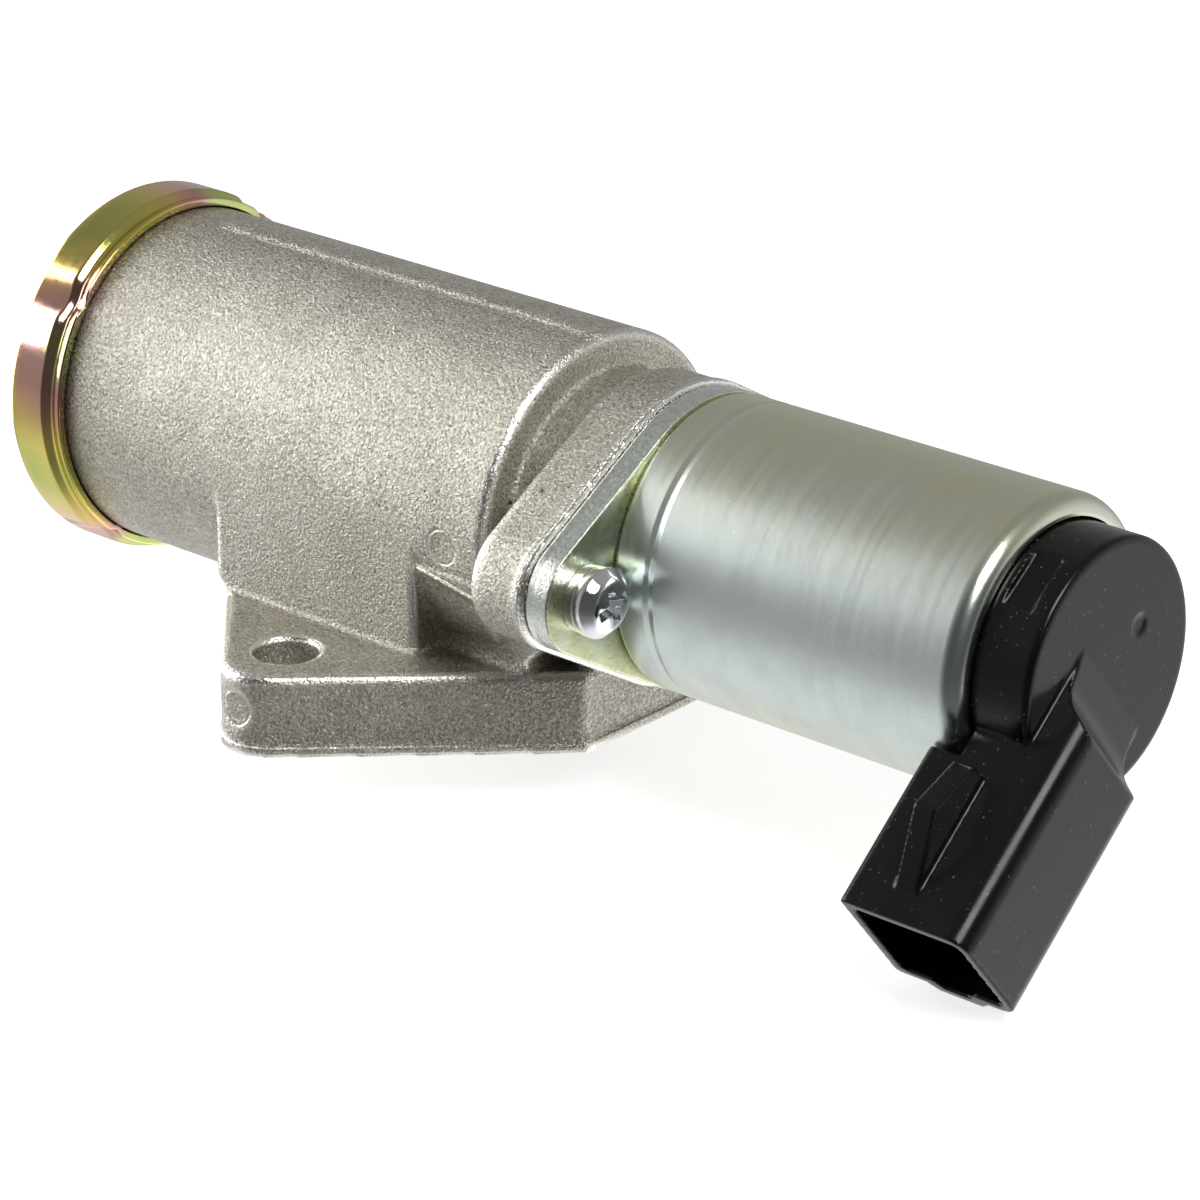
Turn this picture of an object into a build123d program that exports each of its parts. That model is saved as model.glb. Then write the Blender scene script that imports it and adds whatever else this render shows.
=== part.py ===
from build123d import *
import math
import os

# Idle air control valve, solenoid type, in millimetres.
# The mounting face is the plane Z = 0, and the origin is midway between its two bolt holes.
# The valve's axis runs along +X at axis_height, from the end cap towards the connector.

# Broken edges, the bends of drawn sheet, and the shortest line kept between two rounds
edge_break = 0.3
sheet_bend = 0.8
shortest_line = 1e-6

# Casting, along the axis
axis_height = 24.2
canister_radius = 20.4
canister_wall = 3.0
canister_length = 73.7
shoulder_x = 17.0
shoulder_round = 0.9
neck_radius = 16.2
neck_length = 12.6
ear_depth = 8.3
ear_back_round = 1.8
ear_proud = 0.3
ear_rim_length = 1.5
ear_rim_proud = 0.2
bead_proud = 0.85
bead_length = 4.6
bead_slope = 0.6
rail_width = 2.0
rail_height = 0.45
rail_back_margin = 14.7
rail_front_margin = 1.2

# Mounting flange and the walls that rise from it
flange_thickness = 9.7
flange_half_width_x = 24.6
flange_angle = 43.0
flange_half_length = 30.7
flange_half_depth = 25.2
flange_tip_round = 5.5
flange_corner_round = 2.2
flange_edge_round = 0.7
flange_foot = 1.2
flange_foot_proud = 0.25
bolt_hole_radius = 3.8
bolt_hole_x = 5.2
bolt_hole_y = 28.7
pedestal_front_x = 6.7
pedestal_lean = 40.0
web_foot_height = 11.1
web_foot_front_x = 19.7
web_middle_height = 15.5
web_top_height = 20.5
web_middle_flare = 0.9
web_ear_y = 24.0
ejector_mark_radius = 2.0
ejector_mark_depth = 0.2
ejector_mark_x = 11.0
ejector_mark_z = 23.9
flange_mark_depth = 0.4
flange_mark_z = 5.4

# Air passage
web_x = -6.0
web_thickness = 4.0
neck_bore_radius = 11.6
port_radius = 6.8
inlet_x = -14.5
outlet_x = 11.0

# Mounting plate and its screws
plate_thickness = 3.2
plate_radius = 17.1
plate_ear_radius = 6.5
plate_rollover = 0.5
plate_edge_break = 0.2
screw_pitch = 42.0
screw_radius = 2.0
screw_length = 10.0
screw_head_radius = 4.0
screw_head_height = 2.7
screw_head_round = 1.6
screw_recess_length = 5.2
screw_recess_width = 1.2
screw_recess_depth = 1.8
screw_turn = 18.0
screw_hole_depth = 7.0
washer_thickness = 1.4
washer_radius = 3.85
washer_slit = 0.6
washer_slit_lean = 25.0
washer_turn = 55.0
screw_slack = 0.05
plate_hole_slack = 0.25

# Solenoid
can_radius = 17.0
can_wall = 1.0
can_length = 46.5
can_base_round = 0.9
can_end_round = 2.3
can_lip_radius = 14.7
core_radius = 6.4
core_spigot_radius = 8.0
core_nose = 2.6
core_nose_chamfer = 0.6
core_length = 17.0
core_stem_gap = 0.6
bush_wall = 1.4
bush_length = 10.0
sleeve_wall = 0.5
flux_washer_thickness = 3.0
bobbin_wall = 1.0
bobbin_flange = 1.4
bobbin_flange_radius = 15.6
winding_depth = 6.2
static_slack = 0.03

# Moving valve
travel = 3.5
stem_radius = 2.0
stem_slack = 0.05
stem_overhang = 2.0
plunger_slack = 0.08
plunger_length = 22.0
plunger_chamfer = 0.5
pole_gap = 0.5
poppet_radius = 8.2
poppet_thickness = 2.6
poppet_hub_radius = 3.8
poppet_hub_length = 3.4
poppet_nose_length = 2.0
poppet_nose_gap = 1.2
poppet_rim = 0.4
poppet_seal_thickness = 1.2
clip_groove_depth = 0.4
clip_radius = 3.3
clip_thickness = 0.7
seat_bore_radius = 5.8
seat_outer_radius = 8.6
seat_lip = 1.0
seat_lip_radius = 10.2
seat_gap = 0.1

# Springs
return_spring_radius = 5.2
return_spring_wire = 1.1
return_spring_turns = 6
balance_spring_radius = 3.2
balance_spring_wire = 0.7
balance_spring_turns = 5
spring_gap = 0.05
spring_cup_depth = 26.0
spring_cup_wall = 0.8
spring_cup_radius = 7.4
spring_cup_inset = 2.2
spring_cup_skirt = 4.0
spring_nipple_height = 1.4

# End cap
end_cap_wall = 0.8
end_cap_depth = 8.3
end_cap_corner = 2.2
end_cap_band = 5.8
end_cap_roll = 1.0
end_cap_lip_flare = 0.2
end_cap_slack = 0.15
end_cap_dish_radius = 13.0
end_cap_dish_depth = 0.6
cap_seal_section = 1.6
plate_seal_section = 1.8
seal_groove_slack = 0.2

# Connector cap
connector_cap_radius = 14.4
connector_cap_edge = 0.7
cap_stand_out = 7.1
cap_collar = 2.0
cap_bore_depth = 7.0
connector_angle = 50.0
connector_width = 16.0
connector_depth = 16.0
connector_reach = 35.5
connector_stand_out = 5.1
connector_top = 5.9
connector_wall = 1.3
connector_corner = 2.4
connector_back_corner = 0.9
gusset_start = 1.0
gusset_end = 9.4
gusset_round = 1.0
gusset_waist = 1.1
gusset_waist_reach = 6.6
gusset_waist_round = 5.0
socket_depth = 17.0
can_clearance = 0.3
keyway_width = 8.0
keyway_proud = 1.2
keyway_length = 12.0
latch_width = 2.8
latch_offset = -1.2
latch_mouth_gap = 3.2
latch_ramp = 7.7
latch_crest = 6.6
latch_height = 4.7
latch_back_height = 2.4
recess_width = 3.7
recess_length = 7.0
recess_depth = 0.7
recess_angle = 36.0
recess_margin = 2.4
blade_width = 2.8
blade_thickness = 0.8
blade_reach = 8.5
blade_pitch = 6.4
lead_height = 11.2
lead_clearance = 1.0
gate_mark_radius = 1.2
gate_mark_depth = 0.25
gate_mark_y = 5.25
gate_mark_z = 3.4

# Stations along the axis, worked out from the sizes above
canister_back_x = shoulder_x - canister_length
chamber_radius = canister_radius - canister_wall
bead_radius = canister_radius + bead_proud
end_cap_radius = bead_radius + end_cap_slack + end_cap_wall
end_cap_face_x = canister_back_x - end_cap_wall
plate_seat_x = shoulder_x + neck_length
ear_back_x = plate_seat_x - ear_depth
can_seat_x = plate_seat_x + plate_thickness
can_floor_x = can_seat_x + can_wall
can_end_x = can_seat_x + can_length
cap_face_x = can_end_x + cap_stand_out
cap_collar_x = can_end_x - can_wall - cap_collar
flux_washer_x = cap_collar_x - flux_washer_thickness
connector_front_x = cap_face_x + connector_stand_out
connector_back_x = connector_front_x - connector_width
connector_middle_x = connector_front_x - connector_width / 2
connector_bottom = connector_top - connector_depth
connector_centre = connector_top - connector_depth / 2
socket_floor = connector_reach - socket_depth
web_front_x = web_x + web_thickness
seat_face_x = web_x - seat_lip
poppet_front_x = seat_face_x - seat_gap - poppet_seal_thickness
poppet_back_x = poppet_front_x - poppet_thickness
poppet_hub_x = poppet_back_x - poppet_hub_length
clip_x = poppet_hub_x - clip_thickness
clip_groove_radius = stem_radius - clip_groove_depth
stem_back_x = clip_x - stem_overhang
nose_x = seat_face_x - seat_gap + poppet_nose_length
nose_radius = seat_bore_radius - poppet_nose_gap
core_back_x = plate_seat_x - core_nose
core_front_x = can_floor_x + core_length
plunger_back_x = core_front_x + travel + pole_gap
plunger_front_x = plunger_back_x + plunger_length
sleeve_bore = core_radius + plunger_slack
sleeve_radius = sleeve_bore + sleeve_wall
sleeve_back_x = can_floor_x + bobbin_flange
sleeve_end_x = cap_collar_x + cap_bore_depth
bobbin_bore = sleeve_radius + static_slack
bobbin_radius = bobbin_bore + bobbin_wall
spring_cup_brim_x = canister_back_x + spring_cup_inset
spring_cup_crown_x = spring_cup_brim_x + spring_cup_depth
screw_y = screw_pitch / 2
screw_seat_x = can_seat_x + washer_thickness
cap_seal_radius = (chamber_radius + end_cap_radius - end_cap_wall) / 2
plate_seal_radius = (neck_bore_radius + neck_radius) / 2
flange_lean = math.radians(flange_angle)
flange_tip_y = (flange_half_length * math.sin(flange_lean) + flange_half_depth * math.cos(flange_lean)
                - flange_tip_round * (math.sqrt(2) - 1))

# Flat frames: across the valve's axis, and along the connector (width, height, reach)
across_axis = Plane(origin=(0, 0, axis_height), x_dir=(0, 1, 0), z_dir=(1, 0, 0))
connector_lean = math.radians(connector_angle)
connector_direction = (0, -math.sin(connector_lean), -math.cos(connector_lean))
connector_frame = Plane(origin=(0, 0, axis_height), x_dir=(1, 0, 0), z_dir=connector_direction)


def outline(*corners):
    """A closed flat outline: each corner is (x, y), or (x, y, radius) where it is rounded."""
    points = [Vector(corner[0], corner[1]) for corner in corners]
    radii = [corner[2] if len(corner) > 2 else 0 for corner in corners]
    starts = []
    ends = []
    arcs = []
    for index, here in enumerate(points):
        before = (here - points[index - 1]).normalized()
        after = (points[(index + 1) % len(points)] - here).normalized()
        half_turn = math.radians(before.get_angle(after)) / 2
        cut = radii[index] * math.tan(half_turn)
        starts.append(here - before * cut)
        ends.append(here + after * cut)
        if radii[index] > 0:
            inwards = (after - before).normalized()
            middle = here + inwards * radii[index] * (1 / math.cos(half_turn) - 1)
            arcs.append(ThreePointArc(starts[-1], middle, ends[-1]))
    lines = [Line(ends[index - 1], start) for index, start in enumerate(starts)
             if (start - ends[index - 1]).length > shortest_line]
    return make_face(Curve() + lines + arcs)


def turned(*corners):
    """A turned piece: its half profile, in (x, radius), spun about the valve's axis."""
    return Pos(0, 0, axis_height) * revolve(Plane.XZ * outline(*corners), Axis.X)


def drum(x_start, x_end, radius, inner_radius=0):
    """A plain cylinder or tube on the valve's axis."""
    return turned((x_start, inner_radius), (x_end, inner_radius), (x_end, radius), (x_start, radius))


def seal_ring(x_centre, radius, section):
    """A ring of round section about the valve's axis."""
    ring = Plane.XZ * Pos(x_centre, radius) * Circle(section / 2)
    return Pos(0, 0, axis_height) * revolve(ring, Axis.X)


def block(low, high):
    """A plain block between two opposite corners."""
    size = [high[i] - low[i] for i in range(3)]
    return Pos(*low) * Box(*size, align=(Align.MIN, Align.MIN, Align.MIN))


def connector_block(low, high):
    """A block in the connector's own frame: along X, up from its middle line, and outwards."""
    return connector_frame * block(low, high)


def upright(x, y, z_low, z_high, radius):
    """A cylinder along Z."""
    return Pos(x, y, z_low) * Cylinder(radius, z_high - z_low, align=(Align.CENTER, Align.CENTER, Align.MIN))


def eared_slab(x_start, x_end, grow=0.0):
    """A round plate with a screw ear on each side, joined by straight tangents."""
    big = plate_radius + grow
    small = plate_ear_radius + grow
    lean = math.asin((big - small) / screw_y)
    touch_ear = (screw_y + small * math.sin(lean), small * math.cos(lean))
    touch_round = (big * math.sin(lean), big * math.cos(lean))
    right = [touch_round, touch_ear, (touch_ear[0], -touch_ear[1]), (touch_round[0], -touch_round[1])]
    left = [(-y, z) for y, z in reversed(right)]
    middle = make_face(Polyline(*right, *left, close=True))
    face = middle + Circle(big) + Pos(screw_y, 0) * Circle(small) + Pos(-screw_y, 0) * Circle(small)
    return extrude(across_axis.offset(x_start) * face, x_end - x_start)


def flange_outline(grow=0.0):
    """A rectangle turned by flange_angle, cut off square to the valve's axis at both sides."""
    along = Vector(math.cos(flange_lean), math.sin(flange_lean))
    across = Vector(-math.sin(flange_lean), math.cos(flange_lean))
    side_x = flange_half_width_x + grow
    tip = -along * (flange_half_length + grow) - across * (flange_half_depth + grow)
    front = tip + along * ((side_x - tip.X) / along.X)
    back = tip + across * ((-side_x - tip.X) / across.X)
    half = [(tip.X, tip.Y, flange_tip_round + grow),
            (front.X, front.Y, flange_corner_round + grow),
            (-back.X, -back.Y, flange_corner_round + grow)]
    return outline(*half, *[(-x, -y, radius) for x, y, radius in half])


def flange():
    """The mounting flange, with its slightly wider foot."""
    plate = extrude(flange_outline(), flange_thickness)
    plate = fillet(plate.faces().sort_by(Axis.Z)[-1].edges(), flange_edge_round)
    return plate + extrude(flange_outline(flange_foot_proud), flange_foot)


def pedestal():
    """The straight walls under the canister; where they pass the flange's edge they lean out over it."""
    walls = block((-flange_half_width_x, -canister_radius, flange_thickness / 2),
                  (pedestal_front_x, canister_radius, axis_height))
    base = extrude(flange_outline(), flange_thickness)
    rise = axis_height - flange_thickness
    leaning = extrude(Plane.XY.offset(flange_thickness) * flange_outline(), rise, taper=-pedestal_lean)
    return walls & (base + leaning)


def web_section(height, half_width, front_half_width, front_x):
    """A level section of the web: straight under the neck, and wider towards the ears."""
    ear_x = front_x - ear_depth * front_x / plate_seat_x
    half = [(web_x, half_width), (pedestal_front_x, half_width),
            (ear_x, front_half_width), (front_x, front_half_width)]
    mirrored = [(x, -y) for x, y in reversed(half)]
    return Plane.XY.offset(height) * make_face(Polyline(*half, *mirrored, close=True))


def neck_web():
    """The walls under the neck, upright on the flange and flared out to the ears."""
    foot = web_section(web_foot_height, neck_radius, neck_radius, web_foot_front_x)
    middle_width = neck_radius + web_middle_flare
    middle_x = (web_foot_front_x + plate_seat_x) / 2
    middle = web_section(web_middle_height, middle_width, middle_width + web_middle_flare, middle_x)
    top = web_section(web_top_height, canister_radius, web_ear_y, plate_seat_x)
    flare = loft([foot, middle, top])
    walls = block((web_x, -neck_radius, flange_thickness / 2),
                  (web_foot_front_x, neck_radius, web_foot_height))
    return flare + (walls & extrude(flange_outline(), web_foot_height))


def canister_outside():
    """The round canister, with the bead that the end cap is rolled over."""
    return turned((canister_back_x, 0),
                  (canister_back_x, bead_radius, edge_break),
                  (canister_back_x + bead_length, bead_radius, edge_break),
                  (canister_back_x + bead_length + bead_slope, canister_radius),
                  (shoulder_x, canister_radius, shoulder_round),
                  (shoulder_x, 0))


def air_passage():
    """The space inside: the canister's chamber, the seat's hole, the neck's bore and two ports."""
    space = drum(canister_back_x, web_x, chamber_radius)
    space += drum(web_x, web_front_x, seat_outer_radius + static_slack)
    space += drum(web_front_x, plate_seat_x, neck_bore_radius)
    for port_x in (inlet_x, outlet_x):
        space += upright(port_x, 0, 0, axis_height, port_radius)
    return space


def seal_groove(face_x, depth, radius, section):
    """A square groove for a seal ring, sunk by its depth along X into an end face of the casting."""
    half_width = section / 2 + seal_groove_slack
    return drum(face_x, face_x + depth, radius + half_width, radius - half_width)


def ejector_mark(x, y, z, depth):
    """The round print of an ejector pin, sunk by its depth into a wall that faces away from the axis."""
    wall = Plane(origin=(x, y, z), z_dir=(0, -math.copysign(1, y), 0))
    return extrude(wall.offset(-depth) * Circle(ejector_mark_radius), 2 * depth)


def valve_housing():
    """The die casting: canister, pedestal, neck with two ears, and the mounting flange."""
    ears = eared_slab(ear_back_x, plate_seat_x, ear_proud)
    ears = fillet(ears.faces().sort_by(Axis.X)[0].edges(), ear_back_round)
    ears += eared_slab(plate_seat_x - ear_rim_length, plate_seat_x, ear_proud + ear_rim_proud)
    rail_top = axis_height + canister_radius + rail_height
    rail = block((canister_back_x + rail_back_margin, -rail_width / 2, axis_height),
                 (shoulder_x - rail_front_margin, rail_width / 2, rail_top))
    shape = flange() + pedestal() + neck_web() + canister_outside() + rail
    shape += drum(shoulder_x - shoulder_round, plate_seat_x, neck_radius)
    shape += ears
    shape -= air_passage()
    shape -= seal_groove(canister_back_x, cap_seal_section, cap_seal_radius, cap_seal_section)
    shape -= seal_groove(plate_seat_x, -plate_seal_section, plate_seal_radius, plate_seal_section)
    screw_hole = Circle(screw_radius + screw_slack)
    for side in (-1, 1):
        mouth = across_axis.offset(plate_seat_x) * Pos(side * screw_y, 0)
        shape -= extrude(mouth * screw_hole, -screw_hole_depth)
        shape -= upright(side * bolt_hole_x, side * bolt_hole_y, 0, flange_thickness, bolt_hole_radius)
        shape -= ejector_mark(ejector_mark_x, side * canister_radius, ejector_mark_z, ejector_mark_depth)
        shape -= ejector_mark(side * bolt_hole_x, side * flange_tip_y, flange_mark_z, flange_mark_depth)
    return shape


def end_cap():
    """The drawn steel cup that closes the canister, its rim rolled in behind the bead."""
    lip_inside = canister_radius + end_cap_slack
    lip_outside = lip_inside + end_cap_wall
    face = end_cap_face_x
    dish = end_cap_dish_depth
    wall = end_cap_wall
    return turned((face + dish, 0),
                  (face + dish, end_cap_dish_radius, sheet_bend),
                  (face, end_cap_dish_radius + 2 * dish, sheet_bend),
                  (face, end_cap_radius, end_cap_corner),
                  (face + end_cap_band, end_cap_radius, sheet_bend),
                  (face + end_cap_band + end_cap_roll, lip_outside, sheet_bend),
                  (face + end_cap_depth, lip_outside + end_cap_lip_flare, edge_break),
                  (face + end_cap_depth, lip_inside, edge_break),
                  (face + end_cap_band + end_cap_roll, lip_inside),
                  (face + end_cap_band, end_cap_radius - wall),
                  (face + wall, end_cap_radius - wall),
                  (face + wall, end_cap_dish_radius + 2 * dish),
                  (face + wall + dish, end_cap_dish_radius),
                  (face + wall + dish, 0))


def spring_cup():
    """A drawn steel hat pressed into the canister's mouth: its crown carries the return spring."""
    brim = chamber_radius - static_slack
    wall = spring_cup_wall
    x_brim = spring_cup_brim_x
    x_crown = spring_cup_crown_x
    nipple = return_spring_radius - return_spring_wire / 2 - spring_gap
    return turned((x_crown + spring_nipple_height, 0),
                  (x_crown + spring_nipple_height, nipple, edge_break),
                  (x_crown, nipple),
                  (x_crown, spring_cup_radius, sheet_bend + wall),
                  (x_brim + wall, spring_cup_radius, sheet_bend),
                  (x_brim + wall, brim - wall, sheet_bend),
                  (x_brim + spring_cup_skirt, brim - wall),
                  (x_brim + spring_cup_skirt, brim),
                  (x_brim, brim, sheet_bend + wall),
                  (x_brim, spring_cup_radius - wall, sheet_bend + wall),
                  (x_crown - wall, spring_cup_radius - wall, sheet_bend),
                  (x_crown - wall, nipple - wall),
                  (x_crown + spring_nipple_height - wall, nipple - wall),
                  (x_crown + spring_nipple_height - wall, 0))


def coil_spring(x_start, x_end, radius, wire, turns):
    """A round wire coil about the valve's axis, between two seats."""
    length = x_end - x_start - wire
    path = Helix(length / turns, length, radius)
    section = Plane(origin=path @ 0, z_dir=path % 0) * Circle(wire / 2)
    coil = sweep(section, path=path)
    return Pos(x_start + wire / 2, 0, axis_height) * Rot(0, 90, 0) * coil


def return_spring():
    """Holds the poppet on its seat."""
    return coil_spring(spring_cup_crown_x + spring_gap, poppet_back_x - spring_gap,
                       return_spring_radius, return_spring_wire, return_spring_turns)


def balance_spring():
    """A light spring behind the plunger, which takes up the slack."""
    return coil_spring(plunger_front_x + spring_gap, sleeve_end_x - sleeve_wall - spring_gap,
                       balance_spring_radius, balance_spring_wire, balance_spring_turns)


def valve_seat():
    """The brass seat, pressed into the web between the two chambers."""
    return turned((seat_face_x, seat_bore_radius),
                  (seat_face_x, seat_lip_radius, edge_break),
                  (web_x, seat_lip_radius),
                  (web_x, seat_outer_radius),
                  (web_front_x, seat_outer_radius, edge_break),
                  (web_front_x, seat_bore_radius))


def valve_stem():
    """The steel rod that carries the poppet at one end and the plunger at the other."""
    return turned((stem_back_x, 0),
                  (stem_back_x, stem_radius, edge_break),
                  (clip_x, stem_radius),
                  (clip_x, clip_groove_radius),
                  (clip_x + clip_thickness, clip_groove_radius),
                  (clip_x + clip_thickness, stem_radius),
                  (plunger_front_x, stem_radius, edge_break),
                  (plunger_front_x, 0))


def stem_clip():
    """The retaining ring in the stem's groove, open on one side, that keeps the poppet on."""
    half_mouth = clip_groove_radius
    ring = drum(clip_x, clip_x + clip_thickness, clip_radius, clip_groove_radius + static_slack)
    mouth = block((clip_x, -half_mouth, axis_height),
                  (clip_x + clip_thickness, half_mouth, axis_height + 2 * clip_radius))
    return ring - mouth


def poppet():
    """The valve head: a turned disc on a hub, with a short guide nose inside the seat."""
    bore = stem_radius + static_slack
    return turned((poppet_hub_x, bore),
                  (poppet_hub_x, poppet_hub_radius, edge_break),
                  (poppet_back_x, poppet_hub_radius),
                  (poppet_back_x, poppet_radius, edge_break),
                  (poppet_front_x, poppet_radius, edge_break),
                  (poppet_front_x, nose_radius),
                  (nose_x, nose_radius, 2 * edge_break),
                  (nose_x, bore))


def poppet_seal():
    """The flat rubber ring on the poppet's face."""
    front_x = poppet_front_x + poppet_seal_thickness
    return turned((poppet_front_x, nose_radius + static_slack),
                  (poppet_front_x, poppet_radius - poppet_rim),
                  (front_x, poppet_radius - poppet_rim, edge_break),
                  (front_x, nose_radius + static_slack))


def mounting_plate():
    """The blanked steel plate that the solenoid is fixed to, with two screw ears."""
    plate = eared_slab(plate_seat_x, can_seat_x)
    plate = fillet(plate.faces().sort_by(Axis.X)[0].edges(), plate_rollover)
    plate = fillet(plate.faces().sort_by(Axis.X)[-1].edges(), plate_edge_break)
    plate -= drum(plate_seat_x, can_seat_x, core_spigot_radius + static_slack)
    for side in (-1, 1):
        mouth = across_axis.offset(plate_seat_x) * Pos(side * screw_y, 0)
        plate -= extrude(mouth * Circle(screw_radius + plate_hole_slack), plate_thickness)
    return plate


def plate_screw(side):
    """A pan head screw with a cross recess; its thread is left plain."""
    profile = outline((0, 0), (screw_head_height, 0),
                      (screw_head_height, screw_head_radius, screw_head_round),
                      (0, screw_head_radius, edge_break), (0, screw_radius),
                      (-screw_length, screw_radius, edge_break), (-screw_length, 0))
    screw = revolve(Plane.XZ * profile, Axis.X)
    slot = Box(2 * screw_recess_depth, screw_recess_length, screw_recess_width)
    cross = slot + Rot(90, 0, 0) * slot
    pit = Cone(0, screw_recess_length / 2, 2 * screw_recess_depth, rotation=(0, 90, 0))
    screw -= Pos(screw_head_height, 0, 0) * (cross & pit)
    return Pos(screw_seat_x, side * screw_y, axis_height) * Rot(side * screw_turn, 0, 0) * screw


def lock_washer(side):
    """A split spring washer under the screw's head."""
    tube = Circle(washer_radius) - Circle(screw_radius + plate_hole_slack)
    ring = extrude(Plane.YZ * tube, washer_thickness)
    cutter = Box(3 * washer_thickness, washer_slit, 2 * washer_radius)
    slit = Pos(washer_thickness / 2, 0, washer_radius) * Rot(0, 0, washer_slit_lean) * cutter
    return Pos(can_seat_x, side * screw_y, axis_height) * Rot(side * washer_turn, 0, 0) * (ring - slit)


def solenoid_can():
    """The drawn steel can: a flat floor on the plate, and an end rolled in over the cap's collar."""
    wall = can_wall
    return turned((can_seat_x, core_spigot_radius + static_slack),
                  (can_seat_x, can_radius, can_base_round),
                  (can_end_x, can_radius, can_end_round),
                  (can_end_x, can_lip_radius, edge_break),
                  (can_end_x - wall, can_lip_radius, edge_break),
                  (can_end_x - wall, can_radius - wall),
                  (can_floor_x, can_radius - wall),
                  (can_floor_x, core_spigot_radius + static_slack))


def fixed_core():
    """The magnet pole, staked through the plate and the can's floor, with the stem's bore."""
    bush_bore = stem_radius + stem_slack + bush_wall + static_slack
    clear_bore = stem_radius + core_stem_gap
    return turned((core_back_x, bush_bore),
                  (core_back_x, core_spigot_radius, core_nose_chamfer),
                  (can_floor_x, core_spigot_radius),
                  (can_floor_x, core_radius),
                  (core_front_x, core_radius, edge_break),
                  (core_front_x, clear_bore),
                  (core_back_x + bush_length, clear_bore),
                  (core_back_x + bush_length, bush_bore))


def stem_bush():
    """The bronze bush that guides the stem."""
    bore = stem_radius + stem_slack
    return turned((core_back_x, bore),
                  (core_back_x, bore + bush_wall),
                  (core_back_x + bush_length, bore + bush_wall),
                  (core_back_x + bush_length, bore))


def guide_sleeve():
    """The thin closed tube in which the plunger slides."""
    return turned((sleeve_back_x, sleeve_bore),
                  (sleeve_back_x, sleeve_radius),
                  (sleeve_end_x, sleeve_radius, sheet_bend),
                  (sleeve_end_x, 0),
                  (sleeve_end_x - sleeve_wall, 0),
                  (sleeve_end_x - sleeve_wall, sleeve_bore, sheet_bend - sleeve_wall))


def plunger():
    """The sliding armature, pressed on the stem."""
    bore = stem_radius + static_slack
    return turned((plunger_back_x, bore),
                  (plunger_back_x, core_radius, plunger_chamfer),
                  (plunger_front_x, core_radius, plunger_chamfer),
                  (plunger_front_x, bore))


def coil_bobbin():
    """The moulded bobbin: a tube with a flange at each end."""
    back = can_floor_x + static_slack
    front = flux_washer_x - static_slack
    return turned((back, bobbin_bore),
                  (back, bobbin_flange_radius, edge_break),
                  (back + bobbin_flange, bobbin_flange_radius, edge_break),
                  (back + bobbin_flange, bobbin_radius),
                  (front - bobbin_flange, bobbin_radius),
                  (front - bobbin_flange, bobbin_flange_radius, edge_break),
                  (front, bobbin_flange_radius, edge_break),
                  (front, bobbin_bore))


def coil_winding():
    """The wound copper wire, as one closed ring."""
    back = can_floor_x + bobbin_flange + 2 * static_slack
    front = flux_washer_x - bobbin_flange - 2 * static_slack
    inner = bobbin_radius + static_slack
    outer = inner + winding_depth
    return turned((back, inner), (back, outer, edge_break), (front, outer, edge_break), (front, inner))


def lead_notch():
    """The gap in the flux washer through which the two leads pass."""
    half_width = (blade_pitch + blade_width) / 2 + lead_clearance
    return connector_block((flux_washer_x, connector_centre - half_width, lead_height - lead_clearance),
                           (cap_collar_x, connector_centre + half_width, can_radius))


def flux_washer():
    """The steel washer that closes the magnet's path at the connector end."""
    ring = drum(flux_washer_x, cap_collar_x, can_radius - can_wall - static_slack, bobbin_bore)
    return ring - lead_notch()


def terminal(side, grow=0.0):
    """A bent blade: it stands in the socket, and its lead runs back inside the cap to the bobbin."""
    middle = connector_centre + side * blade_pitch / 2
    half_width = blade_width / 2 + grow
    low_x = connector_middle_x - blade_thickness / 2 - grow
    high_x = connector_middle_x + blade_thickness / 2 + grow
    blade = connector_block((low_x, middle - half_width, lead_height - grow),
                            (high_x, middle + half_width, socket_floor + blade_reach))
    tip = blade.faces().sort_by(Axis((0, 0, 0), connector_direction))[-1]
    blade = chamfer(tip.edges(), blade_thickness / 4)
    lead = connector_block((flux_washer_x + static_slack, middle - half_width, lead_height - grow),
                           (high_x, middle + half_width, lead_height + blade_thickness + grow))
    return blade + lead


def connector_shell():
    """The socket's outside: a square tube that leans off the cap, with a hollow gusset on the cap's face."""
    across = outline((connector_back_x, connector_bottom, connector_back_corner),
                     (connector_front_x, connector_bottom, connector_corner),
                     (connector_front_x, connector_top, connector_corner),
                     (connector_back_x, connector_top, connector_back_corner))
    tube = extrude(connector_frame * across, connector_reach)
    side = outline((connector_back_x, connector_reach),
                   (connector_back_x, can_radius / 2),
                   (can_end_x + can_wall, gusset_start),
                   (cap_face_x, gusset_start),
                   (cap_face_x + gusset_waist, gusset_waist_reach, gusset_waist_round),
                   (connector_front_x, gusset_end, gusset_round),
                   (connector_front_x, connector_reach))
    side_plane = Plane(origin=(0, 0, axis_height), x_dir=(1, 0, 0), z_dir=-connector_frame.y_dir)
    return tube & extrude(side_plane.offset(-connector_top) * side, connector_depth)


def keyway(half_width, base, reach_start):
    """The channel along the socket's lower side, standing keyway_proud out from its base."""
    low = base - keyway_proud
    middle = connector_middle_x
    face = outline((middle - half_width, connector_centre), (middle - half_width, base),
                   (middle - half_width + keyway_proud, low, keyway_proud / 3),
                   (middle + half_width - keyway_proud, low, keyway_proud / 3),
                   (middle + half_width, base), (middle + half_width, connector_centre))
    return extrude(connector_frame.offset(reach_start) * face, connector_reach - reach_start)


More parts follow.
